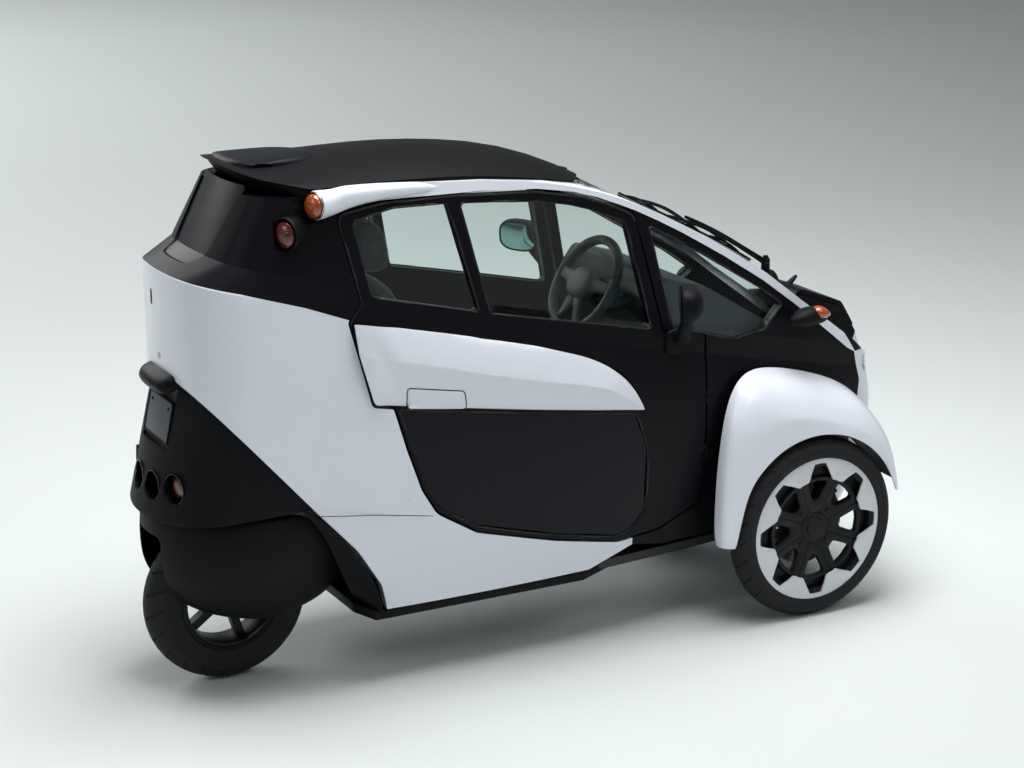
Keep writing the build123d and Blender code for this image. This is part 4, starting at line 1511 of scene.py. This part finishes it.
WIPER_Y = -0.150
WIPER_SHROUD = [
    (0.808, 0.060, 0.925, 0.085, 0.10), (0.808, 0.060, 0.950, 0.075, 0.088),
    (0.808, 0.060, 0.972, 0.056, 0.066), (0.808, 0.060, 0.980, 0.036, 0.044),
]
COWL_STUB = ((-0.5, 0.026), (0.0, 0.022), (0.5, 0.016), (0.95, 0.011), (1.0, 0.004))


class CAR_OT_wiper(bpy.types.Operator):
    """Model the single wiper, its linkage and its motor stub"""

    bl_idname = "car.wiper"
    bl_label = "Wiper"

    def execute(self, context):
        hit = surface_of("windscreen", "hood", "arch_rails")

        def over(x, y, lift):
            found = hit((x, y, 2.0), (0, 0, -1))
            if not found:
                return Vector((x, y, 1.3))
            return found[0] + found[1] * (lift if found[1].z > 0 else -lift)

        def bow(name, start, end, step, lifts, radius):
            """A small bow over the blade from one X to the other; the lifts run to its middle and back."""
            places = (start, start + step, (start + end) / 2, end - step, end)
            run = [over(x, WIPER_Y, lift) for x, lift in zip(places, lifts + lifts[1::-1])]
            return tube(name, run, radius, resolution=1)

        places = [0.235 + 0.045 * k for k in range(11)]
        parts = [tube("blade", [over(x, WIPER_Y, 0.010) for x in places], 0.0036, resolution=1)]
        parts.append(tube("squeegee", [over(x, WIPER_Y, 0.0035) for x in places], 0.0028, resolution=1))
        for start, end in ((0.26, 0.36), (0.40, 0.50), (0.54, 0.64)):
            parts.append(bow("yoke", start, end, 0.02, (0.011, 0.016, 0.018), 0.0042))
        for start, end in ((0.31, 0.45), (0.45, 0.59)):
            parts.append(bow("spine", start, end, 0.03, (0.018, 0.024, 0.027), 0.0056))
        # Arm, its link, and their pivots on the cowl
        pivot = Vector((0.812, -0.052, 1.000))
        arm = [
            pivot + Vector((0, 0, 0.004)), over(0.70, -0.078, 0.030), over(0.56, -0.118, 0.034),
            over(0.45, -0.148, 0.030),
        ]
        link = [
            pivot + Vector((-0.012, -0.026, -0.004)), over(0.69, -0.105, 0.024),
            over(0.57, -0.136, 0.028), over(0.53, -0.146, 0.026),
        ]
        parts += [tube("arm", arm, 0.0050, resolution=2), tube("link", link, 0.0040, resolution=2)]
        for name, shift, foot, top, radius, edge, sides in (
            ("pivot", (0, 0), 0.925, 1.012, 0.013, 0.002, 32),
            ("pivot_nut", (0, 0), 1.010, 1.020, 0.009, 0.001, 6),
            ("pivot", (-0.014, -0.028), 0.925, 1.004, 0.009, 0.002, 32),
        ):
            x, y = pivot.x + shift[0], pivot.y + shift[1]
            parts.append(shaft(name, (x, y, foot), (x, y, top), radius, edge, sides))
        shroud = placed_ovals(WIPER_SHROUD, -1, (1, 0, 0), Y_AXIS, 2.4, 24)
        parts.append(lofted("pivot_shroud", shroud))
        piece = joined("wiper", parts)
        finish(piece, "moulded_abs", "chassis", ["wipers"], 45)
        # Aerial stub ahead of the screen
        loops = [
            oval((0.918 + 0.046 * t, 0.0, 0.893 + 0.038 * t), (0.64, 0, -0.77), Y_AXIS, w, w * 1.2, 2.0, 20)
            for t, w in COWL_STUB
        ]
        finish(lofted("cowl_stub", loops), "moulded_abs", "chassis", (), 50)
        return {"FINISHED"}


# Tail tubes: stations of the cup, of the two lamps and of the two plain ends, as distance back and width
CUP = ((-0.002, 0.0805), (-0.040, 0.078), (-0.043, 0.072), (-0.043, 0.02))
TAIL_LAMP = ((-0.038, 0.074), (-0.026, 0.074), (-0.018, 0.060), (-0.014, 0.036), (-0.013, 0.012))
TAIL_BOSS = ((-0.038, 0.040), (-0.028, 0.040), (-0.026, 0.036), (-0.026, 0.012))
# Rear wheel cover: Z, X at its back and front, half width, and how square it is
REAR_COVER = [
    (0.540, -1.112, -0.608, 0.252, 2.0), (0.532, -1.132, -0.588, 0.272, 2.0),
    (0.512, -1.142, -0.578, 0.282, 2.0), (0.470, -1.147, -0.573, 0.286, 2.0),
    (0.420, -1.147, -0.574, 0.284, 2.05), (0.370, -1.143, -0.580, 0.266, 2.15),
    (0.320, -1.128, -0.590, 0.232, 2.3), (0.270, -1.092, -0.606, 0.188, 2.5),
    (0.232, -1.040, -0.636, 0.156, 2.6), (0.208, -0.990, -0.690, 0.138, 2.4),
    (0.200, -0.950, -0.750, 0.130, 2.2),
]
WHEEL_MOUTH = [(-1.30, 0.470), (-1.10, 0.462), (-1.085, 0.30), (-1.020, 0.17), (-1.30, 0.17)]
# Arch flange: the white shell's edge, and the edge beside the turning cover, as X and Z
ARCH_EDGE = [
    (-0.803, 0.556), (-0.765, 0.526), (-0.727, 0.492), (-0.682, 0.438), (-0.647, 0.384),
    (-0.620, 0.338), (-0.599, 0.292), (-0.588, 0.250), (-0.585, 0.224),
]
ARCH_INNER = [
    (-0.812, 0.556), (-0.785, 0.526), (-0.758, 0.492), (-0.724, 0.438), (-0.700, 0.386),
    (-0.676, 0.338), (-0.652, 0.296), (-0.626, 0.254), (-0.604, 0.224),
]
ARCH_RADIUS = 0.3035
# Hood over the plate: section as X and Z with its corner radii, then Y and the section's size there
PLATE_HOOD = [
    (-1.040, 0.938), (-1.072, 0.940), (-1.118, 0.921), (-1.128, 0.900), (-1.122, 0.884),
    (-1.112, 0.880), (-1.080, 0.893), (-1.040, 0.890),
]
PLATE_HOOD_RADII = [0, 0.01, 0.014, 0.008, 0.006, 0.005, 0.01, 0]
PLATE_HOOD_MIDDLE = (-1.072, 0.912)
PLATE_HOOD_HALF = 0.086
PLATE_HOOD_SIZES = [
    (-0.086, 0.0), (-0.0855, 0.55), (-0.082, 0.86), (-0.070, 0.97), (-0.035, 1.0), (0.0, 1.01),
    (0.035, 1.0), (0.070, 0.97), (0.082, 0.86), (0.0855, 0.55), (0.086, 0.0),
]
SHELL_SLOT = ((0.004, 0.014, 0.043), (-0.0006, 0.014, 0.043), (-0.0012, 0.012, 0.040))
SHELL_LOCK = ((0.003, 0.018), (-0.001, 0.018), (-0.0014, 0.015), (-0.0004, 0.012), (0.0015, 0.004))


def rectangle(half_width, half_height, radius):
    """A rectangle with round corners about the middle, as pairs."""
    w, h = half_width, half_height
    return rounded([(-w, -h), (w, -h), (w, h), (-w, h)], radius, 4)


class CAR_OT_tail(bpy.types.Operator):
    """Model the plate, its lamp hood, the tail tubes and the tail's trim"""

    bl_idname = "car.tail"
    bl_label = "Tail"

    def tubes(self):
        """Mouth of each tail tube, the way that it points, and two directions across it."""
        hit = surface_of("tail_housing", "red_lamps")
        found = []
        for y, z in ((-0.150, 0.618), (-0.052, 0.606), (0.052, 0.606), (0.150, 0.618)):
            spot = hit((-1.5, y * 0.97, z), (1, 0, 0))[0].copy()
            back = Vector((-1, 0.30 * (y / 0.15), 0.02)).normalized()
            u = back.cross(Vector(Z_AXIS)).normalized()
            found.append((spot, back, u, u.cross(back)))
        return found

    def skin(self):
        """The CAD tail without its arch ring: cut along a line that rises to the front, and bored for
        four tubes."""
        node = NODES["tail_housing"]
        piece = copied(node, "tail_skin", Matrix.Identity(4))
        piece.parent = None
        tidy(piece)
        edit(
            piece,
            lambda: bpy.ops.mesh.bisect(
                plane_co=(-1.15, 0, 0.524), plane_no=(0.08, 0, -1), use_fill=True, clear_outer=True
            ),
            lambda: bpy.ops.mesh.select_all(action="SELECT"),
            lambda: bpy.ops.mesh.normals_make_consistent(inside=False),
        )
        bores = [
            shaft("bore", spot + back * 0.05, spot - back * 0.060, 0.0405, 0, 40)
            for spot, back, *_ in self.tubes()
        ]
        cut_out(piece, joined("cutter", bores))
        if not 0.3 < len(piece.data.polygons) / max(1, len(node.data.polygons)) < 20:
            raise RuntimeError("the tail did not cut")
        bevelled(piece, 0.0022, 60)
        finish(piece, "moulded_abs", "chassis", ["tail_housing"], 32)

    def lamps(self):
        """Four tubes in the tail: a red lamp in each outer one, a plain end in the others."""
        tubes, lenses = [], []
        for number, place in enumerate(self.tubes()):
            cup = lofted("cup", stations(*place, CUP, 2.0, 40), True, 0)
            thickened(cup, 0.002, 0)
            tubes.append(cup)
            group, sizes = (lenses, TAIL_LAMP) if number in (0, 3) else (tubes, TAIL_BOSS)
            group.append(lofted("lens", stations(*place, sizes, 2.0, 40), levels=0))
        self.skin()
        finish(joined("tail_tubes", tubes), "gloss_abs", "chassis", (), 35)
        finish(joined("tail_lenses", lenses), "red_acrylic", "chassis", (), 35)

    def wheel_cover(self):
        """Cover over the rear wheel: round on top to steer in the arch, narrower at its foot."""
        x_axis = (1, 0, 0)
        loops = [oval((STEER_X, 0, 0.543), x_axis, Y_AXIS, w, w, 2.0, 56) for w in (0.04, 0.3, 0.46)]
        for z, back, front, half, power in REAR_COVER:
            middle = ((back + front) / 2, 0, z)
            loops.append(oval(middle, x_axis, Y_AXIS, front - back, 2 * half, power, 56))
        cover = lofted("rear_wheel_cover", loops, True, 2)
        thickened(cover, 0.005)
        cut_out(cover, plate("mouth", [(x, 0.082, z) for x, z in WHEEL_MOUTH], (0, -0.164, 0), 0.02, 4))
        finish(cover, "moulded_abs", "rear_steer", ["hugger"], 40)

    def arch_flange(self, side, sign):
        """Dark flange of the wheel arch, between the white shell's edge and the turning cover."""
        skin = on_skin([(x + 0.012, z + 0.004) for x, z in ARCH_EDGE], sign, "rear_shell")
        outer = [Vector((x, p.y + sign * 0.0015, z)) for (x, z), p in zip(ARCH_EDGE, skin)]
        inner = [
            Vector((x, sign * sqrt(ARCH_RADIUS ** 2 - (x - STEER_X) ** 2), z)) for x, z in ARCH_INNER
        ]
        lip = [o.lerp(i, 0.08) + Vector((0.0, sign * 0.002, 0)) for o, i in zip(outer, inner)]
        middle = [o.lerp(i, 0.5) for o, i in zip(outer, inner)]
        flange = sheet_of("arch_flange_" + side, [outer, lip, middle, inner])
        subdivided(flange, 2)
        thickened(flange, 0.004, 0)
        finish(flange, "moulded_abs", "chassis", (), 40)

    def number_plate(self):
        """A bare sheet with a surround and two screws, leaning forward at its top."""
        lean = radians(12)
        normal, up = Vector((-cos(lean), 0, sin(lean))), Vector((sin(lean), 0, cos(lean)))
        side = Vector(Y_AXIS)
        middle = Vector((-1.091, 0, 0.778)) + normal * 0.003

        def on_plate(pairs, lift):
            return [middle + side * a + up * b + normal * lift for a, b in pairs]

        sheet = on_plate(rectangle(0.085, 0.054, 0.008), 0.0)
        piece = plate("blank_plate", sheet, tuple(normal * 0.0016), 0.0005)
        finish(piece, "anodised_sheet", "chassis", (), 30)
        outer = on_plate(rectangle(0.089, 0.058, 0.011), -0.002)
        inner = on_plate(rectangle(0.0835, 0.0525, 0.0065), -0.002)
        piece = ring_plate("plate_surround", outer, inner, tuple(normal * 0.0055), 0.001)
        finish(piece, "moulded_abs", "chassis", (), 40)
        screws = []
        for a in (-0.06, 0.06):
            spot = middle + side * a + up * 0.036
            screws.append(shaft("screw", spot + normal * 0.001, spot + normal * 0.0035, 0.0045, 0.0008, 20))
        finish(joined("plate_screws", screws), "moulded_abs", "chassis", (), 30)

    def plate_hood(self):
        """Hood over the plate, with its lamp beneath."""
        shape = rounded(PLATE_HOOD, PLATE_HOOD_RADII, 4)
        cx, cz = PLATE_HOOD_MIDDLE
        rows = []
        for y, size in PLATE_HOOD_SIZES:
            pull, size = abs(y) / PLATE_HOOD_HALF, max(size, 0.05)
            row = []
            for x, z in shape:
                along = cx + (x - cx) * size + 0.010 * pull ** 3
                row.append(Vector((along, 1.16 * y, cz - 0.018 + (z - cz) * size - 0.003 * pull ** 2)))
            rows.append(row)
        hood = lofted("plate_lamp_hood", rows)
        finish(hood, "satin_enamel", "chassis", ["plate_hood"], 50)
        lamp = block("plate_lamp", (-1.108, -0.022, 0.856), (-1.092, 0.022, 0.868), 0.003)
        finish(lamp, "clear_polycarbonate", "chassis", (), 40)

    def shell_marks(self):
        """Slot and small lock cap on the white shell's back."""
        shell, x_axis = surface_of("rear_shell", "upper_shell"), Vector((1, 0, 0))
        spot = shell((-1.6, 0.045, 1.100), x_axis)[0]
        slot = lofted("shell_slot", stations(spot, x_axis, Y_AXIS, Z_AXIS, SHELL_SLOT, 3.5, 24), levels=0)
        finish(slot, "gloss_abs", "chassis", (), 40)
        spot = shell((-1.6, 0.0, 0.948), x_axis)[0]
        ring = lofted("shell_ring", stations(spot, x_axis, Y_AXIS, Z_AXIS, SHELL_LOCK), levels=0)
        finish(ring, "zinc_plated_steel", "chassis", (), 40)

    def execute(self, context):
        self.lamps()
        self.wheel_cover()
        for side, sign in SIDES:
            self.arch_flange(side, sign)
        self.number_plate()
        self.plate_hood()
        self.shell_marks()
        return {"FINISHED"}


# Seat pads: name, outline in side view as X and Z, and half width
DRIVER_PADS = (
    (
        "base",
        [
            (-0.415, 0.470), (-0.200, 0.452), (0.000, 0.455), (0.022, 0.490), (0.006, 0.532),
            (-0.080, 0.545), (-0.250, 0.522), (-0.390, 0.520),
        ],
        0.190,
    ),
    (
        "back",
        [
            (-0.412, 0.520), (-0.372, 0.560), (-0.395, 0.720), (-0.425, 0.900), (-0.448, 1.085),
            (-0.470, 1.125), (-0.520, 1.120), (-0.540, 1.060), (-0.520, 0.860), (-0.495, 0.680),
            (-0.480, 0.540),
        ],
        0.185,
    ),
    (
        "head",
        [
            (-0.452, 1.130), (-0.447, 1.180), (-0.464, 1.245), (-0.500, 1.276), (-0.545, 1.270),
            (-0.556, 1.220), (-0.545, 1.140), (-0.500, 1.118),
        ],
        0.118,
    ),
)
REAR_PADS = (
    (
        "base",
        [
            (-0.905, 0.552), (-0.740, 0.550), (-0.600, 0.552), (-0.578, 0.575), (-0.592, 0.618),
            (-0.660, 0.630), (-0.780, 0.620), (-0.890, 0.615),
        ],
        0.178,
    ),
    (
        "back",
        [
            (-0.905, 0.640), (-0.893, 0.700), (-0.915, 0.860), (-0.942, 1.020), (-0.962, 1.048),
            (-0.992, 1.040), (-0.990, 0.960), (-0.968, 0.780), (-0.950, 0.640),
        ],
        0.172,
    ),
)
CUSHION_RISE = 0.010
# Steering wheel: angle from its right-hand side, width and depth of each spoke, then the spoke's stations
SPOKES = (
    (0.10, 0.042, 0.016), (pi - 0.10, 0.042, 0.016), (-pi / 2 - 0.38, 0.030, 0.014),
    (-pi / 2 + 0.38, 0.030, 0.014),
)
SPOKE_STATIONS = ((0.030, 1.5, 1.5), (0.060, 1.15, 1.2), (0.095, 0.85, 1), (0.122, 0.8, 1), (0.140, 1, 1))
HUB_PAD = [
    (-0.020, 0.070, 0.070), (-0.010, 0.100, 0.092), (0.010, 0.112, 0.100), (0.026, 0.104, 0.092),
    (0.033, 0.084, 0.072), (0.035, 0.03, 0.026),
]
SHROUD = [
    (0.026, 0.070, 0.066), (0.034, 0.084, 0.080), (0.080, 0.096, 0.094), (0.140, 0.100, 0.104),
]
GRIP_RADIUS = 0.143


class CAR_OT_cabin(bpy.types.Operator):
    """Model the padded seats and the steering wheel"""

    bl_idname = "car.cabin"
    bl_label = "Cabin"

    def seats(self):
        for name, node, pads in (
            ("driver", "driver_seat", DRIVER_PADS), ("rear", "rear_seat", REAR_PADS)
        ):
            for number, (part, outline, half) in enumerate(pads):
                pad = cushion(name + "_" + part, outline, half)
                inflated(pad, CUSHION_RISE)
                modified(pad, "SMOOTH", iterations=2, factor=0.5)
                finish(pad, "woven_cloth", "chassis", () if number else [node], 50)
        posts = [
            shaft("post", (-0.505, y, 1.09), (-0.505, y, 1.16), 0.006) for y in (-0.045, 0.045)
        ]
        posts = joined("headrest_posts", posts)
        finish(posts, "zinc_plated_steel", "chassis", (), 40)

    def steering_wheel(self, centre, axis, side, up):
        """Grip, four closed spokes and a bare hub pad."""
        grip = []
        for k in range(72):
            a = 2 * pi * k / 72
            out = side * cos(a) + up * sin(a)
            # The grip is a little flat at its foot
            r = GRIP_RADIUS if sin(a) > -0.55 else GRIP_RADIUS - 0.012 * (-sin(a) - 0.55)
            grip.append(oval(centre + out * r, out, axis, 0.027, 0.031, 2.2, 14))
        parts = [lofted("grip", grip + grip[:1], True, 0)]
        for a, wide, deep in SPOKES:
            out = side * cos(a) + up * sin(a)
            loops = []
            for r, w, d in SPOKE_STATIONS:
                spot = centre + out * r + axis * (0.014 * (1 - r / 0.16))
                loops.append(oval(spot, axis.cross(out), axis, wide * w, deep * d, 2.8, 16))
            parts.append(lofted("spoke", loops))
        parts.append(lofted("hub_pad", stations(centre, axis, side, up, HUB_PAD, 2.8, 32)))
        wheel = joined("steering_wheel_rim", parts)
        finish(wheel, "soft_touch_skin", "steering_wheel", ["steering_wheel"], 50)

    def column(self, centre, back, side, up):
        """Column shroud with its stalks."""
        shroud = lofted("column_shroud", stations(centre, back, side, up, SHROUD, 3, 24))
        stalks = []
        for s in (-1, 1):
            path = [
                centre + back * 0.055 + side * s * 0.03,
                centre + back * 0.048 + side * s * 0.10,
                centre + back * 0.040 + side * s * 0.150 + up * 0.02,
            ]
            stalks.append(tube("stalk", path, 0.006))
        piece = joined("column_shroud_and_stalks", [shroud, *stalks])
        finish(piece, "moulded_abs", "chassis", (), 50)

    def execute(self, context):
        self.seats()
        centre, tilt = Vector((0.219, 0.0, 0.987)), radians(30)
        axis = Vector((-cos(tilt), 0, sin(tilt)))
        side, up = Vector(Y_AXIS), Vector((sin(tilt), 0, cos(tilt)))
        self.steering_wheel(centre, axis, side, up)
        self.column(centre, -axis, side, up)
        return {"FINISHED"}


def cushion(name, outline, half, steps=9):
    """A crowned pad: its side outline is stacked across the seat and drawn in towards both sides."""
    points = [Vector((p.x, 0, p.y)) for p in resampled([(x, z, 0) for x, z in outline], 28)]
    middle = sum(points, Vector()) / len(points)
    loops = []
    for k in range(-steps, steps + 1):
        t = k / steps
        draw = 1 - 0.16 * abs(t) ** 3.2 - (0.22 if abs(t) == 1 else 0)
        loops.append(
            [middle + (p - middle) * draw + Vector((0, half * t * (1 - 0.02 * abs(t)), 0)) for p in points]
        )
    return lofted(name, loops)


def inflated(piece, cap):
    """Blows a pad up as cloth with pressure, holding every point within the cap of where it was."""
    modified(piece, "REMESH", mode="VOXEL", voxel_size=0.0085)
    before = [v.co.copy() for v in piece.data.vertices]
    only(piece)
    cloth = piece.modifiers.new("cloth", "CLOTH")
    settings = cloth.settings
    settings.use_pressure, settings.uniform_pressure_force = True, 4.0
    settings.effector_weights.gravity = 0.0
    settings.quality, settings.mass = 4, 0.25
    settings.tension_stiffness = settings.compression_stiffness = 12.0
    scene = bpy.context.scene
    cloth.point_cache.frame_start, cloth.point_cache.frame_end = 1, 12
    for number in range(1, 13):
        scene.frame_set(number)
    bpy.ops.object.modifier_apply(modifier=cloth.name)
    scene.frame_set(1)
    for vertex, old in zip(piece.data.vertices, before):
        move = vertex.co - old
        if move.length > cap:
            vertex.co = old + move.normalized() * cap


class CAR_OT_stage(bpy.types.Operator):
    """Set the floor, the light and the camera"""

    bl_idname = "car.stage"
    bl_label = "Stage"

    def execute(self, context):
        scene = context.scene
        scene.view_settings.view_transform = "Standard"
        bpy.ops.object.select_all(action="DESELECT")
        bpy.ops.mesh.primitive_plane_add(size=60)
        floor = context.object
        floor.name = "studio_floor"
        mat = bpy.data.materials.new("pale_studio_floor")
        mat.use_nodes = True
        tree = mat.node_tree
        shader = tree.nodes["Principled BSDF"]
        shader.inputs["Roughness"].default_value = 0.6
        # Floor: pale, greyer with distance as painted falloff of the studio light, and mottled in broad
        # patches by noise
        split = add_node(
            tree, "ShaderNodeSeparateXYZ", [("Vector", place_of(tree, rotation=(0, 0, radians(28))))],
        )
        far = add_node(
            tree, "ShaderNodeMapRange", [("Value", split.outputs["Y"])], From_Min=-2.0, From_Max=16.0,
        )
        ramp = add_node(tree, "ShaderNodeValToRGB", [("Fac", far.outputs["Result"])])
        ramp.color_ramp.elements[0].color = linear("#CED2D2")
        ramp.color_ramp.elements[1].color = linear("#D2D9D9")
        noise = texture(tree, "Noise", 0.4, Detail=2.0)
        mix = add_node(
            tree, "ShaderNodeMix", [("Factor", noise.outputs["Fac"]), (6, ramp.outputs["Color"])],
            data_type="RGBA",
        )
        mix.inputs[7].default_value = linear("#CCD1D1")
        tree.links.new(mix.outputs[2], shader.inputs["Base Color"])
        shader.inputs["Specular IOR Level"].default_value = 0.2
        floor.data.materials.append(mat)

        world = bpy.data.worlds.new("studio")
        scene.world = world
        world.use_nodes = True
        tree = world.node_tree
        tree.nodes.clear()
        where = add_node(tree, "ShaderNodeTexCoord")
        split = add_node(tree, "ShaderNodeSeparateXYZ", [("Vector", where.outputs["Generated"])])
        height = add_node(
            tree, "ShaderNodeMapRange", [("Value", split.outputs["Z"])], From_Min=-0.05, From_Max=0.55,
        )
        sky = add_node(tree, "ShaderNodeValToRGB", [("Fac", height.outputs["Result"])])
        ramp = sky.color_ramp
        ramp.elements[0].color = linear("#DDE1E0")
        ramp.elements[1].color = linear("#B4BDBB")
        light = add_node(tree, "ShaderNodeBackground", [("Color", sky.outputs["Color"])], Strength=0.30)
        seen = add_node(tree, "ShaderNodeBackground", [("Color", sky.outputs["Color"])], Strength=1.0)
        path = add_node(tree, "ShaderNodeLightPath")
        either = add_node(
            tree, "ShaderNodeMath", [
                (0, path.outputs["Is Camera Ray"]), (1, path.outputs["Is Transmission Ray"]),
            ], operation="MAXIMUM"
        )
        mixed = add_node(
            tree,
            "ShaderNodeMixShader",
            [(0, either.outputs[0]), (1, light.outputs["Background"]), (2, seen.outputs["Background"])],
        )
        add_node(tree, "ShaderNodeOutputWorld", [("Surface", mixed.outputs["Shader"])])

        for name, place, aim, size, power in (
            ("overhead_softbox", (0.3, -0.3, 5.0), (0.1, 0.0, 0.0), (4.0, 3.0), 350),
            ("key_softbox", (1.6, -4.6, 5.2), (0.0, 0.0, 0.6), (3.6, 2.4), 70),
            ("rear_softbox", (-6.2, -1.0, 3.2), (-0.8, 0.0, 0.7), (2.6, 2.6), 36),
            ("backdrop_wash", (-2.5, 11.0, 6.0), (0.5, 9.0, 0.0), (12.0, 8.0), 900),
        ):
            data = bpy.data.lights.new(name, "AREA")
            data.shape, data.size, data.size_y, data.energy = "RECTANGLE", size[0], size[1], power
            lamp = bpy.data.objects.new(name, data)
            lamp.location = place
            lamp.rotation_euler = (Vector(aim) - Vector(place)).to_track_quat("-Z", "Y").to_euler()
            scene.collection.objects.link(lamp)

        data = bpy.data.cameras.new("camera")
        data.sensor_width, data.lens, data.clip_end = 36.0, 84.375, 200.0
        camera = bpy.data.objects.new("camera", data)
        camera.location = (-3.1521, -5.8741, 2.6774)
        camera.rotation_euler = (radians(90 - 16.383), 0, radians(-28.06))
        scene.collection.objects.link(camera)
        scene.camera = camera
        return {"FINISHED"}


class CAR_PT_panel(bpy.types.Panel):
    """Lists the operators in the sidebar"""

    bl_label = "City car"
    bl_idname = "CAR_PT_panel"
    bl_space_type = "VIEW_3D"
    bl_region_type = "UI"
    bl_category = "Car"

    def draw(self, context):
        for group in OPERATORS:
            self.layout.operator(group.bl_idname)
        for settings in (context.scene.car_colours, context.scene.car_sizes):
            for key in settings.__annotations__:
                self.layout.prop(settings, key)


OPERATORS = (
    CAR_OT_materials,
    CAR_OT_fenders,
    CAR_OT_wheels,
    CAR_OT_glazing,
    CAR_OT_doors,
    CAR_OT_roof,
    CAR_OT_mirrors,
    CAR_OT_lamps,
    CAR_OT_wiper,
    CAR_OT_tail,
    CAR_OT_cabin,
    CAR_OT_stage,
)
CLASSES = (CarColours, CarSizes, *OPERATORS, CAR_PT_panel)


def register():
    for item in CLASSES:
        bpy.utils.register_class(item)
    bpy.types.Scene.car_colours = bpy.props.PointerProperty(type=CarColours)
    bpy.types.Scene.car_sizes = bpy.props.PointerProperty(type=CarSizes)


def unregister():
    del bpy.types.Scene.car_colours, bpy.types.Scene.car_sizes
    for item in reversed(CLASSES):
        bpy.utils.unregister_class(item)


def main():
    register()
    for group in OPERATORS:
        area, name = group.bl_idname.split(".")
        if getattr(getattr(bpy.ops, area), name)() != {"FINISHED"}:
            raise RuntimeError(name + " did not finish")
    bpy.context.view_layer.update()


if __name__ == "__main__":
    main()
